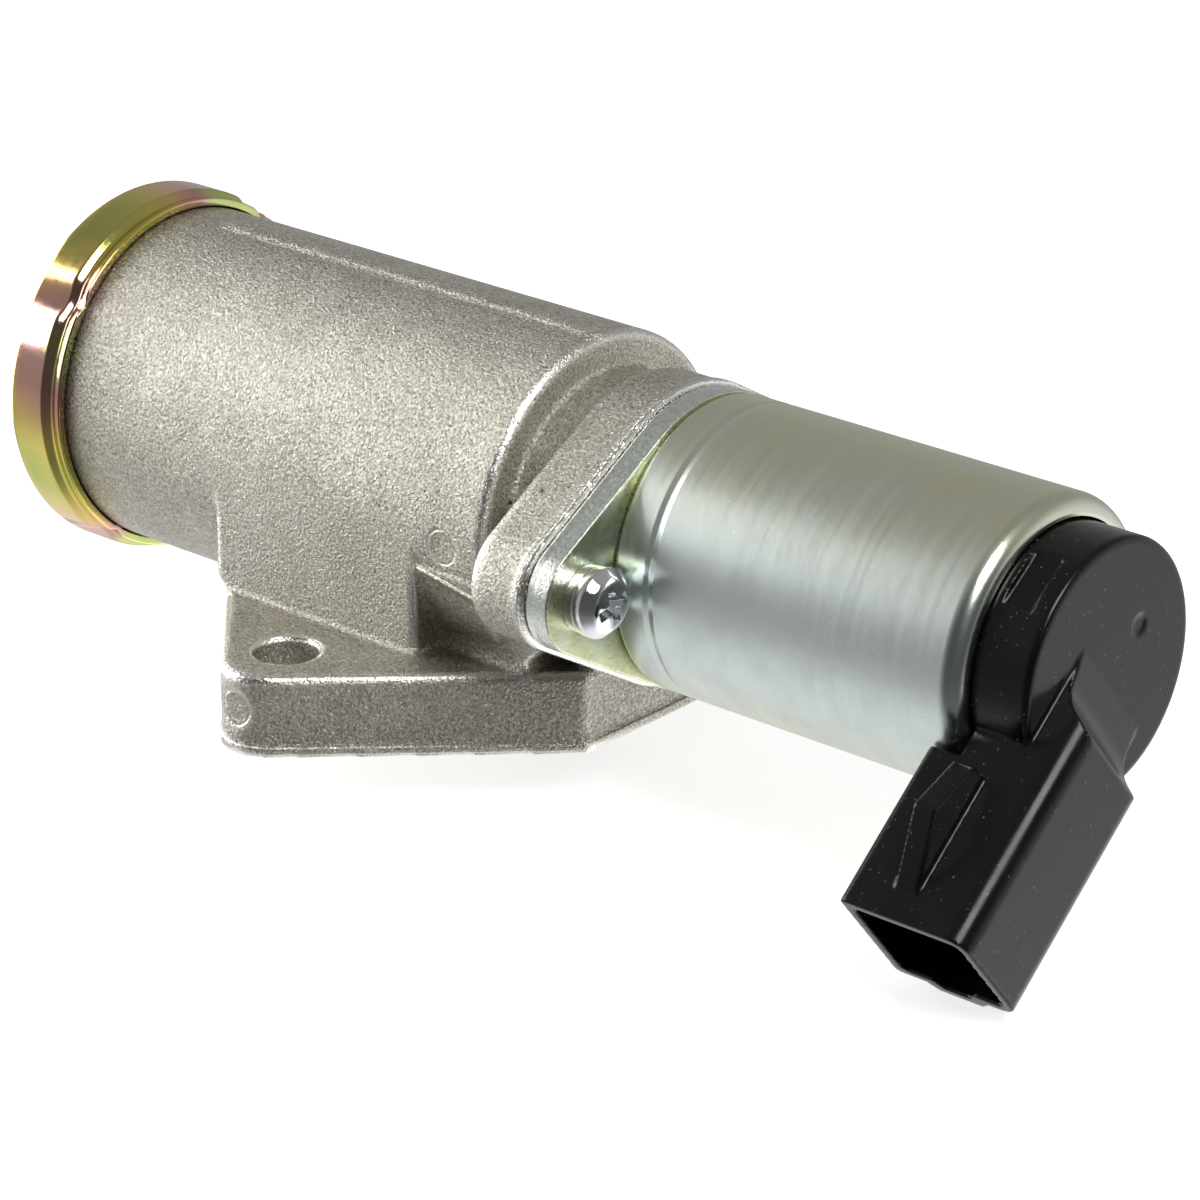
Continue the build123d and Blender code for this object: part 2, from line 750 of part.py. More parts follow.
def latch():
    """The ramp on the socket's upper side that the plug's latch snaps over."""
    start = connector_reach - latch_mouth_gap
    crest = start - latch_ramp
    back = crest - latch_crest
    root = connector_top - connector_wall / 2
    profile = outline((start, root), (start, connector_top),
                      (crest, connector_top + latch_height, edge_break),
                      (back, connector_top + latch_back_height, edge_break), (back, root))
    middle = connector_middle_x + latch_offset
    # The profile is drawn in (reach, height) and stands across the ramp's width
    stand = Plane(origin=(middle - latch_width / 2, 0, axis_height),
                  x_dir=connector_direction, z_dir=(-1, 0, 0))
    return extrude(stand * profile, -latch_width)


def socket():
    """The space inside the connector, open at its mouth, with the keyway's channel."""
    wall = connector_wall
    corner = connector_corner - wall
    across = outline((connector_back_x + wall, connector_bottom + wall, corner),
                     (connector_front_x - wall, connector_bottom + wall, corner),
                     (connector_front_x - wall, connector_top - wall, corner),
                     (connector_back_x + wall, connector_top - wall, corner))
    space = extrude(connector_frame.offset(socket_floor) * across, socket_depth)
    channel = keyway(keyway_width / 2 - wall, connector_bottom + wall, connector_reach - keyway_length)
    return space + channel


def connector_cap():
    """The black moulding: a round cap held by the can's rolled end, with the connector socket."""
    collar_radius = can_radius - can_wall - static_slack
    body = turned((cap_collar_x, 0), (cap_collar_x, collar_radius),
                  (can_end_x - can_wall - static_slack, collar_radius),
                  (can_end_x - can_wall - static_slack, connector_cap_radius),
                  (cap_face_x, connector_cap_radius, connector_cap_edge), (cap_face_x, 0))
    shell = connector_shell()
    shell += keyway(keyway_width / 2, connector_bottom, connector_reach - keyway_length - connector_wall)
    shell += latch()
    shell -= drum(cap_collar_x - can_wall, can_end_x + can_clearance, can_radius + can_clearance)
    shape = body + shell - socket()
    shape -= drum(cap_collar_x, sleeve_end_x + static_slack, sleeve_radius + static_slack)
    for side in (-1, 1):
        shape -= terminal(side, static_slack)
    recess = Box(recess_width, recess_length, 2 * recess_depth)
    place = Pos(cap_face_x - recess_margin - recess_width / 2, 0, axis_height) * Rot(recess_angle, 0, 0)
    shape -= place * Pos(0, 0, connector_cap_radius) * recess
    gate_mark = across_axis.offset(cap_face_x) * Pos(gate_mark_y, gate_mark_z) * Circle(gate_mark_radius)
    return shape - extrude(gate_mark, -gate_mark_depth)


def end_cap_seal():
    """The ring between the casting's end face and the end cap."""
    return seal_ring(canister_back_x + cap_seal_section / 2, cap_seal_radius, cap_seal_section)


def plate_o_ring():
    """The ring between the neck's end face and the mounting plate."""
    return seal_ring(plate_seat_x - plate_seal_section / 2, plate_seal_radius, plate_seal_section)


def build_parts():
    """Every sub-part, named, in its assembled position."""
    return {
        "valve_housing": valve_housing(),
        "end_cap": end_cap(),
        "end_cap_seal": end_cap_seal(),
        "spring_cup": spring_cup(),
        "return_spring": return_spring(),
        "poppet": poppet(),
        "poppet_seal": poppet_seal(),
        "valve_seat": valve_seat(),
        "valve_stem": valve_stem(),
        "stem_clip": stem_clip(),
        "mounting_plate": mounting_plate(),
        "plate_o_ring": plate_o_ring(),
        "solenoid_can": solenoid_can(),
        "screw_front": plate_screw(-1),
        "screw_rear": plate_screw(1),
        "lock_washer_front": lock_washer(-1),
        "lock_washer_rear": lock_washer(1),
        "coil_bobbin": coil_bobbin(),
        "coil_winding": coil_winding(),
        "fixed_core": fixed_core(),
        "stem_bush": stem_bush(),
        "flux_washer": flux_washer(),
        "plunger": plunger(),
        "guide_sleeve": guide_sleeve(),
        "balance_spring": balance_spring(),
        "connector_cap": connector_cap(),
        "terminal_1": terminal(-1),
        "terminal_2": terminal(1),
    }


def main():
    os.makedirs("parts", exist_ok=True)
    for name, solid in build_parts().items():
        export_step(solid, "parts/" + name + ".step")


main()
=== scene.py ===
# %% [markdown]
# An idle air control valve lets a metered stream of air past an engine's closed throttle.
# This lesson dresses its solid model: a blasted die casting, a gold plated end cap, a bright
# plated coil can and a black connector. The solids keep their shape. What Blender adds is the
# finish of each surface, the soft edges of castings and mouldings, and the studio round them.

# %% The frame
import bpy
import math
from mathutils import Matrix, Vector


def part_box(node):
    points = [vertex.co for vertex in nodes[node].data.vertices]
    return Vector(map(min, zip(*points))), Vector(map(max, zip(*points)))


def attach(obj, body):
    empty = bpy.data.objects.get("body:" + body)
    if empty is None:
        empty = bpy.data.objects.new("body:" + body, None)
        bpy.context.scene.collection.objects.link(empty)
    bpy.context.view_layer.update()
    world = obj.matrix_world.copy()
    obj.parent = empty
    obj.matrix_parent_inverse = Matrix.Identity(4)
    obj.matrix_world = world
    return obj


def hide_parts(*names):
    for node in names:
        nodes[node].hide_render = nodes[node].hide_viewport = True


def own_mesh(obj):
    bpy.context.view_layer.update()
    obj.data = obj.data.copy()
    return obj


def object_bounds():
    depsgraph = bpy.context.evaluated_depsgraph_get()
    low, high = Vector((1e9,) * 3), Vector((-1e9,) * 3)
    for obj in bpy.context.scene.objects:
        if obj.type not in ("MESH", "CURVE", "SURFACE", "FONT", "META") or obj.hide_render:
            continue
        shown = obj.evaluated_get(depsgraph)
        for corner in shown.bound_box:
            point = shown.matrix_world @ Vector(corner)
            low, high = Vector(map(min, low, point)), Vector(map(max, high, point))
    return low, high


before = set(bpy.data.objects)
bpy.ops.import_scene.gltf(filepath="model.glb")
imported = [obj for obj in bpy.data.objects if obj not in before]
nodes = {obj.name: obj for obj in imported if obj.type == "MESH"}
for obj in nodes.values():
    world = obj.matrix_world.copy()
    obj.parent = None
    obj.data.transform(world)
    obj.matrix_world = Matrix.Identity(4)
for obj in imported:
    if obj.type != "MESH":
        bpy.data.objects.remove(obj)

cad_box = [list(corner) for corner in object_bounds()]
print("solids:", len(nodes), "box:", cad_box)

# %% [markdown]
# Blender counts in metres here, and a valve is made in millimetres. So one millimetre gets a
# name, and every length on the part is a number of millimetres. Only the studio round it is laid
# out in metres. The valve's axis is a line along X, at the height of the middle of the coil can,
# and most finishes are laid out from it.

# %% The axis
mm = 0.001
can_low, can_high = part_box("solenoid_can")
axis_height = ((can_low + can_high) / 2).z
can_radius = (can_high.z - can_low.z) / 2
print("axis height and can radius in mm:", axis_height / mm, can_radius / mm)

# %% [markdown]
# The photograph fixes the camera: a long lens, a little above the part and to its right. A
# camera can be placed by its coordinates, but two angles and a distance from a target point
# are easier to match to a photograph, because each one changes the picture in one way only.
# Azimuth 0 looks along +Y.

# %% The camera
camera_azimuth = math.radians(41.05)
camera_elevation = math.radians(22.94)
camera_distance = 536.76 * mm
camera_target = Vector((16.5 * mm, 0, 12.66 * mm))
lens_length = 142.0
sensor_width = 36.0

outwards = Vector((math.sin(camera_azimuth) * math.cos(camera_elevation),
                   -math.cos(camera_azimuth) * math.cos(camera_elevation),
                   math.sin(camera_elevation)))
camera_data = bpy.data.cameras.new("photo_camera")
camera_data.lens = lens_length
camera_data.sensor_width = sensor_width
camera_data.clip_start = 10 * mm
camera = bpy.data.objects.new("photo_camera", camera_data)
camera.location = camera_target + outwards * camera_distance
camera.rotation_euler = (math.radians(90) - camera_elevation, 0, camera_azimuth)
bpy.context.scene.collection.objects.link(camera)
bpy.context.scene.camera = camera
print("camera at", [round(c / mm, 1) for c in camera.location])

# %% [markdown]
# The part stands on a pale floor that takes its shadow. The floor could also be what the metal
# mirrors, but then its look and its light would be tied together. So it is hidden from
# reflections, which see the lower half of the world instead, and it glows a little to stay pale.

# %% The floor
floor_gap = 0.2 * mm
floor_size = 6.0
floor_glow = 0.72

bpy.ops.object.select_all(action="DESELECT")
bpy.ops.mesh.primitive_plane_add(size=floor_size, location=(0, 0, cad_box[0][2] - floor_gap))
floor = bpy.context.object
floor.name = "studio_floor"
floor.visible_glossy = False
floor.visible_diffuse = False

floor_material = bpy.data.materials.new("pale_floor")
floor_material.use_nodes = True
floor_shader = floor_material.node_tree.nodes["Principled BSDF"]
floor_shader.inputs["Base Color"].default_value = (0.8, 0.8, 0.8, 1)
floor_shader.inputs["Roughness"].default_value = 0.9
floor_shader.inputs["Emission Color"].default_value = (1, 1, 1, 1)
floor_shader.inputs["Emission Strength"].default_value = floor_glow
floor.data.materials.append(floor_material)
print("floor at", round(floor.location.z / mm, 2), "mm")

# %% [markdown]
# A cylinder is a good light meter: it mirrors its surroundings as bands along its length. The
# bands in the photograph show one soft panel near the canister, to the left of the camera. The
# bright line along the connector's rounded edge comes from a second panel, to the right. An
# area light is placed by a matrix here, so that its long side can be turned as well as its aim.

# %% A soft panel
def add_panel(name, place, across, size, power):
    """A soft rectangular light that faces the part, its long side as near "across" as it can."""
    light = bpy.data.lights.new(name, "AREA")
    light.shape = "RECTANGLE"
    light.size, light.size_y = size
    light.energy = power
    back = (place - camera_target).normalized()
    upright = back.cross(across).normalized()
    panel = bpy.data.objects.new(name, light)
    panel.matrix_world = Matrix.Translation(place) @ Matrix(
        (upright.cross(back), upright, back)).transposed().to_4x4()
    bpy.context.scene.collection.objects.link(panel)
    print(name, "at", [round(c / mm) for c in place])


# %% [markdown]
# The left panel lies where the camera's ray goes after it meets the canister's bright band. Its
# right end is placed on its own, because it sets where the band stops along the canister.

# %% The two panels
left_ray = Vector((-0.605, -0.61, 0.51)).normalized()
left_distance = 420 * mm
left_size, left_power = (0.66, 0.36), 3.1
left_end = 30 * mm
left_along = (Vector((1, 0, 0)) - left_ray * left_ray.x).normalized()
canister_middle = Vector((-20 * mm, 0, axis_height))
left_shift = left_end - left_size[0] / 2
left_place = canister_middle + left_ray * left_distance + left_along * left_shift
add_panel("left_panel", left_place, left_along, left_size, left_power)

right_ray = Vector((0.62, -0.25, 0.74)).normalized()
right_distance = 0.7
right_size, right_power = (0.3, 0.3), 2.8
right_place = camera_target + right_ray * right_distance
add_panel("right_panel", right_place, Vector((0, 1, 0)), right_size, right_power)

# %% [markdown]
# Every finish below is a tree of shader nodes. By hand, a node is added from a menu, its options
# are chosen and its sockets are filled or wired. These helpers do the same in one line each, so
# that a tree reads like a sum. A link is given as the socket that feeds it.

# %% Adding a node
def add_node(tree, kind, inputs=None, **options):
    """A new node with its options set, and each input linked or given a value."""
    node = tree.nodes.new(kind)
    for name, value in options.items():
        setattr(node, name, value)
    for name, value in (inputs or {}).items():
        if isinstance(value, bpy.types.NodeSocket):
            tree.links.new(value, node.inputs[name])
        else:
            node.inputs[name].default_value = value
    return node


def maths(tree, operation, first, second=0.0, third=0.0):
    """The result of one Math node."""
    inputs = {0: first, 1: second, 2: third}
    return add_node(tree, "ShaderNodeMath", inputs, operation=operation).outputs[0]


def vector_maths(tree, operation, first, second, result="Vector"):
    """The result of one Vector Math node: a vector or, with "Value", a number."""
    inputs = {0: first, 1: second}
    return add_node(tree, "ShaderNodeVectorMath", inputs, operation=operation).outputs[result]


def parts_of(tree, vector):
    """The X, Y and Z of a vector."""
    return add_node(tree, "ShaderNodeSeparateXYZ", {0: vector}).outputs


# %% [markdown]
# Most effects move a value into the range where it is wanted, and then pick or mix colours by
# it. Map Range, Color Ramp and Mix do that, and they too take one line each from here on.

# %% Ranges and colours
def between(tree, value, from_low, from_high, to_low=0.0, to_high=1.0, kind="LINEAR"):
    """A value moved from one range to another, and held inside it."""
    inputs = {"Value": value, "From Min": from_low, "From Max": from_high,
              "To Min": to_low, "To Max": to_high}
    return add_node(tree, "ShaderNodeMapRange", inputs, interpolation_type=kind).outputs["Result"]


def ramp(tree, factor, stops):
    """A colour ramp: each stop is a position and a colour."""
    node = add_node(tree, "ShaderNodeValToRGB", {"Fac": factor})
    elements = node.color_ramp.elements
    while len(elements) < len(stops):
        elements.new(0.5)
    for element, (position, colour) in zip(elements, stops):
        element.position = position
        element.color = (*colour, 1)
    return node.outputs["Color"]


def blend(tree, factor, first, second):
    """A mix of two colours."""
    node = add_node(tree, "ShaderNodeMix", data_type="RGBA", blend_type="MIX")
    factor_socket, first_socket, second_socket = (node.inputs[place] for place in (0, 6, 7))
    for socket, value in ((factor_socket, factor), (first_socket, first), (second_socket, second)):
        if isinstance(value, bpy.types.NodeSocket):
            tree.links.new(value, socket)
        elif isinstance(value, tuple):
            socket.default_value = (*value, 1)
        else:
            socket.default_value = value
    return node.outputs[2]


def scaled(tree, colour, factor):
    """A colour times a number."""
    inputs = {0: colour, "Scale": factor}
    return add_node(tree, "ShaderNodeVectorMath", inputs, operation="SCALE").outputs[0]


# %% [markdown]
# Bare metal shows little but its surroundings, so the studio matters as much as the finish. It
# could be a tent of white planes. Here the world itself does that: its brightness depends on
# where a ray points. A ramp over the height gives the pale floor, the dim walls and the ceiling.
# The camera and its stand hide part of the tent, so the world is darker on that side. Behind the
# part, to the right, the floor is bright, and faces that look along X mirror it.

# %% The tent
world = bpy.data.worlds.new("light_tent")
world.use_nodes = True
bpy.context.scene.world = world
bpy.context.scene.view_settings.view_transform = "Standard"
tent = world.node_tree
ray = add_node(tent, "ShaderNodeTexCoord").outputs["Generated"]


def towards(aim):
    """How closely a ray points along a direction: 1 is straight along it."""
    return vector_maths(tent, "DOT_PRODUCT", ray, Vector(aim).normalized(), "Value")


ray_height = parts_of(tent, ray)["Z"]
tent_greys = [(0.0, 0.92), (0.21, 0.90), (0.30, 0.52), (0.42, 0.40), (0.54, 0.38), (0.75, 0.33),
              (1.0, 0.29)]
walls = ramp(tent, between(tent, ray_height, -1.0, 1.0),
             [(stop, (grey, grey, grey)) for stop, grey in tent_greys])
camera_way = (math.sin(camera_azimuth), -math.cos(camera_azimuth), 0)
camera_side = between(tent, towards(camera_way), 0.15, 0.8, 1.0, 0.22, "SMOOTHSTEP")
floor_way = (0.60, 0.69, -0.39)
bright_floor = between(tent, towards(floor_way), 0.5, 0.95, 1.0, 2.1, "SMOOTHSTEP")
tent_light = scaled(tent, walls, maths(tent, "MULTIPLY", camera_side, bright_floor))
tent.links.new(tent_light, tent.nodes["Background"].inputs["Color"])
print("tent nodes:", len(tent.nodes))

# %% [markdown]
# Three patterns come back in most finishes, so each is a node group, made once and placed with
# its own values. The first is mottle, the slow drift of tone over any real surface. A noise
# texture gives it, with its middle range stretched, as noise seldom comes near 0 or 1.

# %% The mottle group
def new_group(name, inputs, outputs):
    """An empty node group, with its input and output sockets."""
    group = bpy.data.node_groups.new(name, "ShaderNodeTree")
    for socket, kind, value in inputs:
        made = group.interface.new_socket(name=socket, in_out="INPUT", socket_type=kind)
        if value is not None:
            made.default_value = value
    for socket in outputs:
        group.interface.new_socket(name=socket, in_out="OUTPUT", socket_type="NodeSocketFloat")
    print("group:", name)
    return group, group.nodes.new("NodeGroupInput"), group.nodes.new("NodeGroupOutput")


def noise_of(group, vector, scale, detail, roughness):
    """A noise texture's value."""
    inputs = {"Vector": vector, "Scale": scale, "Detail": detail, "Roughness": roughness}
    return add_node(group, "ShaderNodeTexNoise", inputs).outputs["Fac"]


mottle_group, given, result = new_group(
    "mottle",
    [("Vector", "NodeSocketVector", None), ("Size", "NodeSocketFloat", 5 * mm),
     ("Detail", "NodeSocketFloat", 3.0)],
    ["Value"])
scale = maths(mottle_group, "DIVIDE", 1.0, given.outputs["Size"])
noise = noise_of(mottle_group, given.outputs["Vector"], scale, given.outputs["Detail"], 0.6)
mottle_group.links.new(between(mottle_group, noise, 0.3, 0.7), result.inputs["Value"])

# %% [markdown]
# The second is grain, the bite of shot blasting or of a moulding tool. A noise gives the height
# of the dents and marks the deepest as pits. A Voronoi texture splits the surface into cells,
# and the random colour of each becomes one value for each grain.

# %% The grain group
grain_group, given, result = new_group(
    "grain",
    [("Vector", "NodeSocketVector", None), ("Size", "NodeSocketFloat", 0.5 * mm)],
    ["Height", "Cell", "Pit"])
scale = maths(grain_group, "DIVIDE", 1.0, given.outputs["Size"])
noise = noise_of(grain_group, given.outputs["Vector"], scale, 2.5, 0.65)
cells = add_node(grain_group, "ShaderNodeTexVoronoi",
                 {"Vector": given.outputs["Vector"], "Scale": scale})
cell = add_node(grain_group, "ShaderNodeSeparateColor", {"Color": cells.outputs["Color"]})
grain_group.links.new(noise, result.inputs["Height"])
grain_group.links.new(cell.outputs["Red"], result.inputs["Cell"])
grain_group.links.new(between(grain_group, noise, 0.36, 0.26), result.inputs["Pit"])

# %% [markdown]
# The third is scuffs, fine broken lines from handling. Where a noise crosses its middle value it
# draws a thin wandering line. Stretching the coordinates makes the lines run one way, and a
# second, broader noise keeps only some patches of them.

# %% The scuffs group
patch_size = 4 * mm
scuffs_group, given, result = new_group(
    "scuffs",
    [("Vector", "NodeSocketVector", None), ("Size", "NodeSocketFloat", 0.2 * mm),
     ("Stretch", "NodeSocketVector", (1, 1, 1)), ("Amount", "NodeSocketFloat", 0.3)],
    ["Line"])
scale = maths(scuffs_group, "DIVIDE", 1.0, given.outputs["Size"])
drawn = vector_maths(scuffs_group, "MULTIPLY", given.outputs["Vector"], given.outputs["Stretch"])
noise = noise_of(scuffs_group, drawn, scale, 2.0, 0.5)
away = maths(scuffs_group, "ABSOLUTE", maths(scuffs_group, "SUBTRACT", noise, 0.5))
thin = between(scuffs_group, away, 0.02, 0.0)
patches = noise_of(scuffs_group, given.outputs["Vector"], 1 / patch_size, 1.0, 0.5)
wanted = maths(scuffs_group, "ADD", patches, given.outputs["Amount"])
present = between(scuffs_group, wanted, 0.7, 0.95)
scuffs_group.links.new(maths(scuffs_group, "MULTIPLY", thin, present), result.inputs["Line"])

# %% [markdown]
# A group is placed like any node. The helpers give the sockets that the finishes ask for, and
# start a material on the object's own coordinates, so that a pattern stays put when the piece
# moves. Colour, gloss and bump are the three things that each finish then changes.

# %% Starting a material
def use_group(tree, group, **inputs):
    """A placed node group, with its inputs by name."""
    node = add_node(tree, "ShaderNodeGroup", node_tree=group)
    for name, value in inputs.items():
        socket = node.inputs[name.capitalize()]
        if isinstance(value, bpy.types.NodeSocket):
            tree.links.new(value, socket)
        else:
            socket.default_value = value
    return node.outputs


def mottle(tree, place, size, detail):
    """The mottle group's value."""
    return use_group(tree, mottle_group, vector=place, size=size, detail=detail)["Value"]


def start_material(name, colour, metallic, roughness):
    """A material with a Principled shader and the object's own coordinates."""
    material = bpy.data.materials.new(name)
    material.use_nodes = True
    tree = material.node_tree
    shader = tree.nodes["Principled BSDF"]
    shader.inputs["Base Color"].default_value = (*colour, 1)
    shader.inputs["Metallic"].default_value = metallic
    shader.inputs["Roughness"].default_value = roughness
    print("material:", name)
    return material, tree, shader, add_node(tree, "ShaderNodeTexCoord").outputs["Object"]


def dress(tree, shader, colour, roughness, height, depth, strength=1.0):
    """Wire a finish: its colour if it varies, its roughness, and its height as a bump."""
    inputs = {"Height": height, "Distance": depth, "Strength": strength}
    bump = add_node(tree, "ShaderNodeBump", inputs)
    if colour is not None:
        tree.links.new(colour, shader.inputs["Base Color"])
    tree.links.new(roughness, shader.inputs["Roughness"])
    tree.links.new(bump.outputs["Normal"], shader.inputs["Normal"])


# %% [markdown]
# The casting is aluminium, pressed into a steel die. The die leaves its own traces: faint rings
# where pins pushed the hot part out, a small step round the ears and one round the foot of the
# flange. They are a fraction of a millimetre high. The soft skin that is made below loses them,
# so the bump draws them again.

# %% Traces of the die
pin_radius = 2.0 * mm
pin_places = [(11 * mm, -20.2 * mm, 23.9 * mm), (11 * mm, 20.2 * mm, 23.9 * mm),
              (-5.2 * mm, -36.9 * mm, 5.4 * mm), (5.2 * mm, 36.9 * mm, 5.4 * mm)]
end_cap_low, end_cap_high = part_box("end_cap")
plate_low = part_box("mounting_plate")[0]
rim_place = plate_low.x - 1.6 * mm
print("pin marks:", len(pin_places), "rim at", round(rim_place / mm, 2), "mm")


def ring_marks(tree, place):
    """The faint round prints of the pins: a thin ring about each of their places."""
    marks = 0.0
    for centre in pin_places:
        reach = vector_maths(tree, "DISTANCE", place, centre, "Value")
        off_ring = maths(tree, "ABSOLUTE", maths(tree, "SUBTRACT", reach, pin_radius))
        marks = maths(tree, "MAXIMUM", marks, between(tree, off_ring, 0.24 * mm, 0.06 * mm))
    return marks


def die_steps(tree, along, up):
    """The steps: the rim of the ears above the flange, and the lowest part of the foot."""
    rim = between(tree, along, rim_place, rim_place + 0.25 * mm)
    rim = maths(tree, "MULTIPLY", rim, between(tree, up, 11 * mm, 12 * mm))
    foot = between(tree, up, 1.35 * mm, 1.1 * mm)
    return maths(tree, "ADD", rim, foot)


# %% [markdown]
# The casting is then shot blasted. Up close it is a field of tiny dents and facets that catch
# the light one by one. The colour is bare aluminium under a warm oxide. It drifts slowly, is
# speckled grain by grain, and is darkened low down by painted shade. Deep pits and rare gas
# pores are dark. The seam behind the end cap is darkened too, with painted shade for the crease
# between the parts and with the grime that collects there.

# %% Colour of the casting
blast_grain = 0.36 * mm
fine_grain = 0.2 * mm
pore_spacing = 7 * mm
# Dark colour for pits, pores and the seam, where it is painted shade with grime.
shade_and_dirt = (0.13, 0.125, 0.11)


def casting_tone(tree, place, up):
    """Aluminium's colour as it drifts over the casting, darkened low down by painted shade."""
    drift = mottle(tree, place, 7 * mm, 4.0)
    tone = ramp(tree, drift, [(0.0, (0.57, 0.54, 0.465)), (1.0, (0.69, 0.66, 0.58))])
    speck = mottle(tree, place, 0.34 * mm, 1.0)
    tone = scaled(tree, tone, between(tree, speck, 0.0, 1.0, 0.55, 1.28))
    # Painted shade: the tone darkens towards the foot of the casting.
    return scaled(tree, tone, between(tree, up, 4 * mm, 26 * mm, 0.82, 1.0))


def casting_shade_and_dirt(tree, tone, pit, pore, along):
    """The tone with dark pits and pores, and a seam darkened by painted shade and grime."""
    # Painted shade with grime: the canister darkens towards the seam behind the end cap.
    seam = between(tree, along, end_cap_high.x + 2.4 * mm, end_cap_high.x, 0.0, 0.55)
    dark = maths(tree, "MAXIMUM", maths(tree, "MULTIPLY", pit, 0.6), pore)
    return blend(tree, maths(tree, "MAXIMUM", dark, seam), tone, shade_and_dirt)


# %% [markdown]
# Edges that stick out are rubbed bright. They could be painted in by hand. The mesh's own
# pointiness finds them too, which works here because the casting's skin is made of small faces.
# Rubbed metal is smoother, so the same mask lowers the roughness and flattens the dents.

# %% Blasted casting
def make_casting():
    material, tree, shader, place = start_material("blasted_casting", (0.7, 0.66, 0.57), 1.0, 0.45)
    along, _, up = parts_of(tree, place)
    grain = use_group(tree, grain_group, vector=place, size=blast_grain)
    fine = use_group(tree, grain_group, vector=place, size=fine_grain)
    pores = add_node(tree, "ShaderNodeTexVoronoi", {"Vector": place, "Scale": 1 / pore_spacing})
    pore = between(tree, pores.outputs["Distance"], 0.045, 0.02)
    marks = ring_marks(tree, place)
    pitted_and_shaded = casting_shade_and_dirt(tree, casting_tone(tree, place, up), grain["Pit"], pore, along)

    pointiness = add_node(tree, "ShaderNodeNewGeometry").outputs["Pointiness"]
    edge = between(tree, pointiness, 0.503, 0.524)
    scuffs = use_group(tree, scuffs_group, vector=place, size=0.7 * mm, stretch=(1, 1, 0.12),
                       amount=0.05)
    lines = maths(tree, "MULTIPLY", maths(tree, "MAXIMUM", scuffs["Line"], marks), 0.5)
    bright = maths(tree, "MAXIMUM", maths(tree, "MULTIPLY", edge, 0.9), lines)
    rubbed = blend(tree, bright, pitted_and_shaded, (0.93, 0.91, 0.86))

    worn = maths(tree, "SUBTRACT", 1.0, maths(tree, "MULTIPLY", edge, 0.65))
    shiny = maths(tree, "MULTIPLY", between(tree, fine["Cell"], 0.0, 1.0, 0.25, 0.52), worn)
    dents = maths(tree, "MULTIPLY_ADD", fine["Height"], 0.5, grain["Height"])
    dents = maths(tree, "MULTIPLY", maths(tree, "MULTIPLY_ADD", pore, -1.5, dents), worn)
    height = maths(tree, "MULTIPLY_ADD", die_steps(tree, along, up), 0.9, dents)
    height = maths(tree, "MULTIPLY_ADD", marks, -0.5, height)
    dress(tree, shader, rubbed, shiny, height, 0.26 * mm)
    return material


casting = make_casting()

# %% [markdown]
# The end cap is steel with a yellow chromate over its zinc. The film is about as thin as a
# wavelength of light, so its colour runs from gold to rose and green with its thickness. One
# value stands for that thickness and a ramp turns it into colours. It changes where the sheet
# bends, runs in waves round the band, and drifts more broadly on the flat face.

# %% Yellow chromate
waves_round = 25.0


def around_axis(tree, place):
    """How far round the valve's axis a point lies, from 0 to 1."""
    _, across, up = parts_of(tree, vector_maths(tree, "SUBTRACT", place, (0, 0, axis_height)))
    return between(tree, maths(tree, "ARCTAN2", across, up), -math.pi, math.pi)


def film_thickness(tree, place):
    """A value from 0 to 1 that stands for the thickness of the film."""
    along = parts_of(tree, place)["X"]
    film = mottle(tree, place, 9 * mm, 2.0)
    bend = between(tree, along, end_cap_low.x + 3 * mm, end_cap_high.x, 0.0, 0.35)
    thickness = maths(tree, "ADD", maths(tree, "MULTIPLY", film, 0.45), bend)
    on_band = between(tree, along, end_cap_low.x + 0.6 * mm, end_cap_low.x + 2.0 * mm)
    turn = around_axis(tree, place)
    waves = maths(tree, "SINE", maths(tree, "MULTIPLY", turn, waves_round))
    broad = between(tree, mottle(tree, place, 16 * mm, 1.0), 0.0, 1.0, -0.9, 0.6)
    waves = maths(tree, "MULTIPLY", waves, on_band)
    calm = maths(tree, "MULTIPLY", broad, maths(tree, "SUBTRACT", 1.0, on_band))
    thickness = maths(tree, "ADD", thickness, maths(tree, "ADD", waves, calm))
    return between(tree, thickness, -1.0, 1.8)


def make_gold_plate():
    material, tree, shader, place = start_material("gold_chromate", (0.8, 0.65, 0.3), 1.0, 0.14)
    tint = ramp(tree, film_thickness(tree, place), [
        (0.0, (0.42, 0.50, 0.14)), (0.22, (0.70, 0.60, 0.16)), (0.42, (0.80, 0.58, 0.22)),
        (0.58, (0.78, 0.46, 0.30)), (0.74, (0.66, 0.38, 0.34)), (0.88, (0.60, 0.62, 0.24)),
        (1.0, (0.50, 0.60, 0.22))])
    skin = mottle(tree, place, 0.8 * mm, 3.0)
    dress(tree, shader, tint, between(tree, skin, 0.0, 1.0, 0.1, 0.17), skin, 0.008 * mm, 0.4)
    return material


gold_plate = make_gold_plate()

# %% [markdown]
# The coil can is zinc plated and clear passivated. Near its top and bottom the film turns
# faintly yellow. Clouds, fine scuffs along the can and specks of dust lie over that. The specks
# are the middles of Voronoi cells, which is cheaper than scattering real ones.

# %% Colour of the clear zinc
dust_spacing = 2.4 * mm


